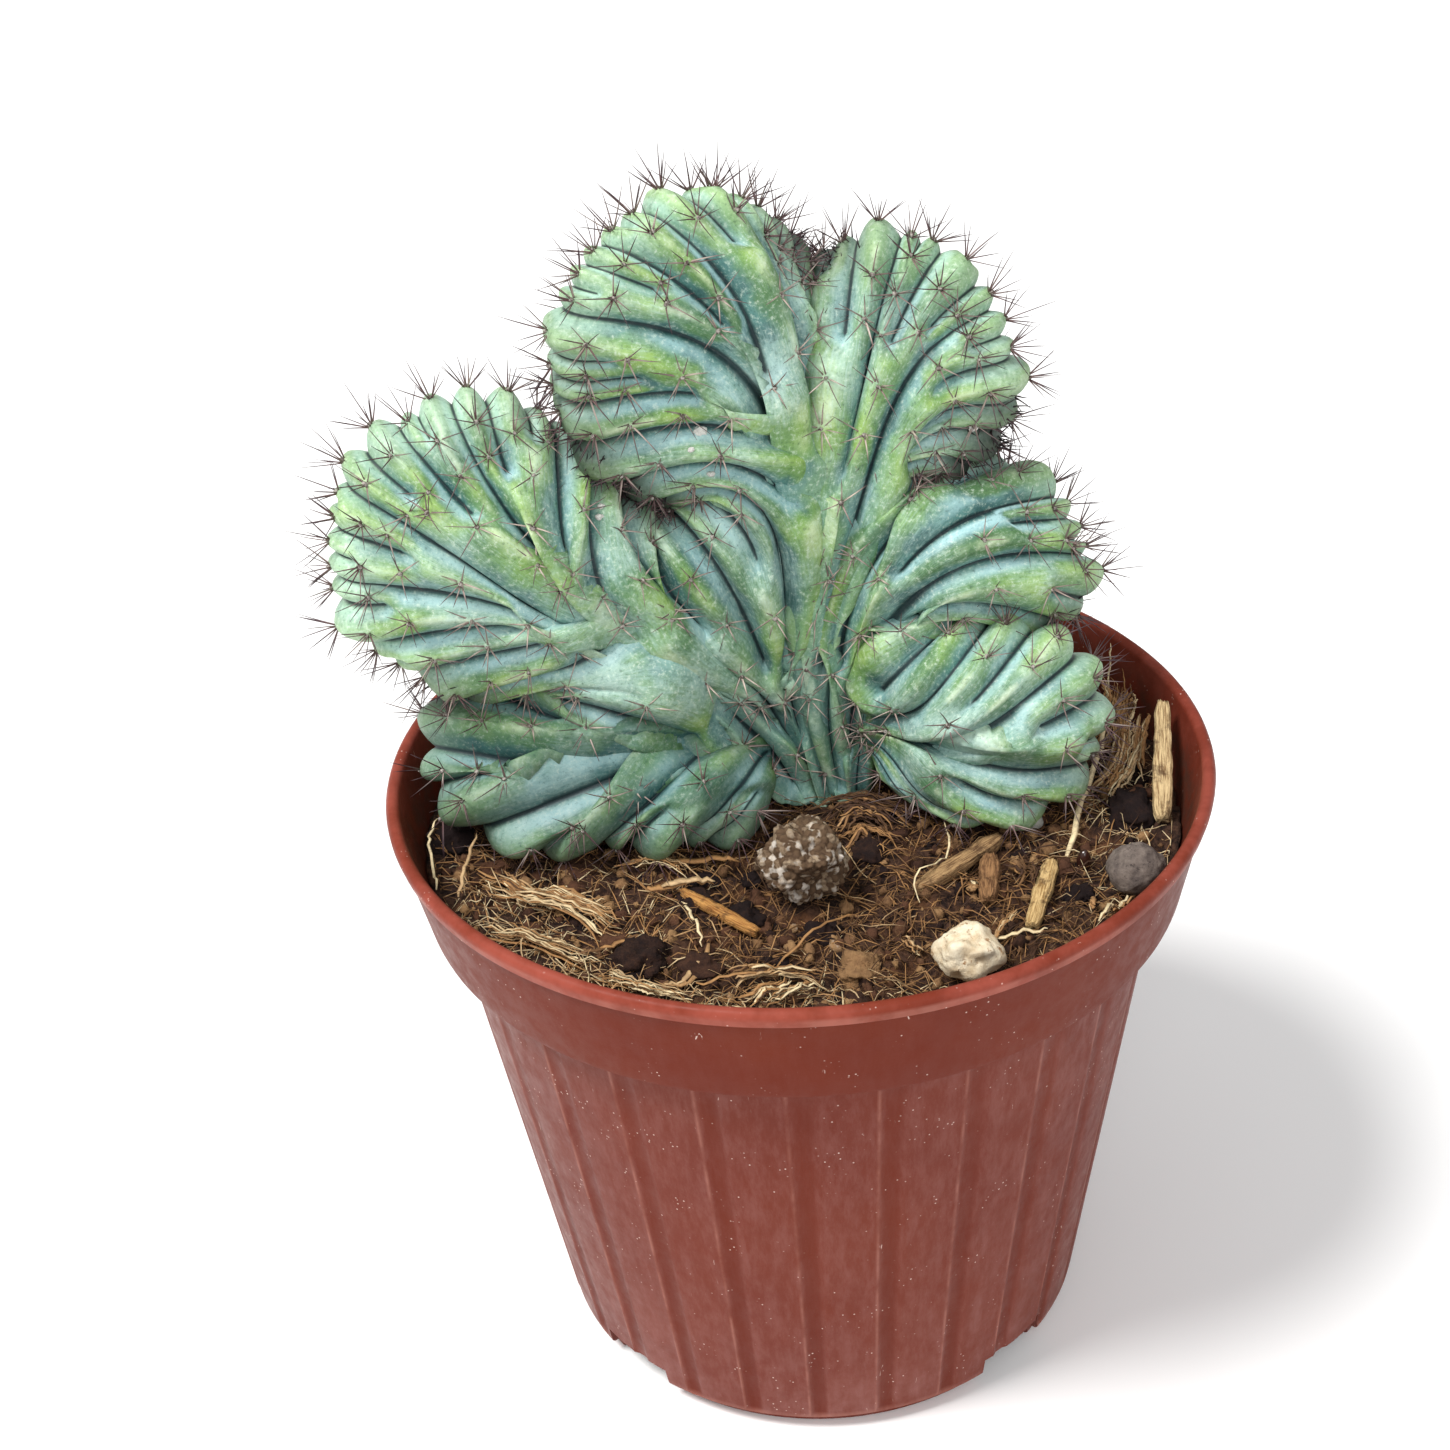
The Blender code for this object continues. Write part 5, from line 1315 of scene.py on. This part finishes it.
def build_stone(name, subdivisions, planes, depth, rough, rough_scale, made_of, grain=0.0):
    """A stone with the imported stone's form, broken off along planes and with a finer surface."""
    (centre, radii, lumps) = STONES[name]
    number = list(STONES).index(name)
    rng = random.Random(SEED + number)
    shift = Vector((rng.uniform(-9, 9), rng.uniform(-9, 9), rng.uniform(-9, 9)))
    corners, triangles = ball(subdivisions)
    swell = np.array([1 + lumps * noise.noise(Vector(v) * 1.7 + shift) for v in corners])
    breaks = np.random.default_rng(SEED + number)
    facing = unit(breaks.normal(size=(planes, 3)))
    reach = breaks.uniform(1 - depth, 1.02, planes) / np.maximum(corners @ facing.T, 0.02)
    swell = swell * 1.05 * (1 + (reach ** -22).sum(1)) ** (-1 / 22)
    points = np.array(centre) + corners * np.array(radii) * swell[:, None]
    points += corners * (rough * smoothed_noise(points, rough_scale, number + 3, 5))[:, None]
    values = {}
    if grain:
        near = [noise.voronoi(Vector(point) / grain) for point in points]
        closest = np.array([distances[0] for distances, _ in near])
        beside = np.array([distances[1] for distances, _ in near])
        own = np.array([noise.cell(places[0] * 37.0) for _, places in near])
        points += corners * (grain * (0.55 - 0.8 * closest))[:, None]
        values = {"grain": own, "crack": 1 - np.clip((beside - closest) / 0.25, 0, 1)}
    piece = mesh_piece(name + "_stone", points, triangles, made_of, values)
    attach(piece, "root")
    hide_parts(name)
    return piece


def build_floor():
    """Plain white studio floor."""
    s = Shader("studio_floor", roughness=0.9, specular=0.1)
    s.colour(s.mix(s.noise(3, 2), srgb(250, 250, 250), srgb(252, 252, 252)))
    corners, faces = [], []
    for x in (-4000, 4000):
        for y in (-4000, 6000):
            corners.append((x, y, 0))
    floor = mesh_piece("floor", corners, [(0, 2, 3, 1)], s.made)


def area_light(name, place, target, size, power, colour=(1, 1, 1)):
    data = bpy.data.lights.new(name, "AREA")
    data.shape = "DISK"
    data.size = size
    data.energy = power
    data.color = colour
    light = bpy.data.objects.new(name, data)
    bpy.context.collection.objects.link(light)
    light.location = place
    light.rotation_euler = (Vector(target) - Vector(place)).to_track_quat("-Z", "Y").to_euler()


def build_lights():
    """Large soft key from the front left, and a bright white surround."""
    area_light("key", (-1.3, -0.7, 2.6), (0, 0, 0.09), 1.0, 92.0, (1.0, 0.99, 0.97))
    area_light("fill", (0.5, -2.3, 1.9), (0, 0, 0.09), 2.2, 36.0, (0.98, 0.99, 1.0))
    world = bpy.data.worlds.new("studio")
    bpy.context.scene.world = world
    world.use_nodes = True
    world.node_tree.nodes["Background"].inputs["Color"].default_value = (1, 1, 1, 1)
    world.node_tree.nodes["Background"].inputs["Strength"].default_value = 0.5
    bpy.context.scene.view_settings.view_transform = "Standard"


def build_camera():
    data = bpy.data.cameras.new("photo_camera")
    data.lens = CAMERA_LENS
    data.sensor_width = 36.0
    data.clip_start = 0.01
    camera = bpy.data.objects.new("photo_camera", data)
    bpy.context.collection.objects.link(camera)
    right, up = Vector(CAMERA_RIGHT).normalized(), Vector(CAMERA_UP).normalized()
    back = right.cross(up).normalized()
    up = back.cross(right)
    camera.matrix_world = Matrix.Translation(Vector(CAMERA_PLACE) * MM) @ Matrix((right, up, back)).transposed().to_4x4()
    bpy.context.scene.camera = camera


def main():
    rng = np.random.default_rng(SEED)
    build_camera()
    build_lights()
    build_floor()
    crest = Crest(*CREST_GRID)
    build_crest(crest)
    areoles = crest.areoles(random.Random(SEED))
    build_spines(areoles, rng)
    build_eye_spines(crest, rng)
    build_wool(areoles, rng)
    build_specks(crest)
    build_pot()
    build_soil()
    build_crumbs(rng)
    build_clods(rng)
    fibre = fibre_material("dry_fibre")
    build_fibres("coir_short", 5600, (2.0, 8), (0.04, 0.13), (0.3, 2.2), 0.07, 5, fibre, rng)
    build_fibres("coir_long", 420, (8, 20), (0.05, 0.15), (0.4, 2.6), 0.18, 9, fibre, rng)
    build_straws(fibre, rng)
    build_seed()
    build_stone("stone_pumice", 6, 11, 0.34, 0.5, 1.6, pumice_material(), 1.0)
    build_stone("stone_cream", 5, 9, 0.3, 0.5, 3.0, stone_material(
        "cream_stone", srgb(150, 112, 74), srgb(206, 184, 150), srgb(236, 224, 198), 260, 0.3))
    build_stone("pebble_dark", 5, 6, 0.16, 0.35, 2.4, stone_material(
        "dark_pebble", srgb(60, 52, 50), srgb(88, 78, 74), srgb(124, 112, 104), 420, 0.3))
    build_stone("pebble_pale", 4, 6, 0.2, 0.2, 2.0, stone_material(
        "light_pebble", srgb(110, 112, 106), srgb(146, 148, 142), srgb(176, 176, 168), 500, 0.3))
    for name in CHIPS:
        build_chip(name)


main()
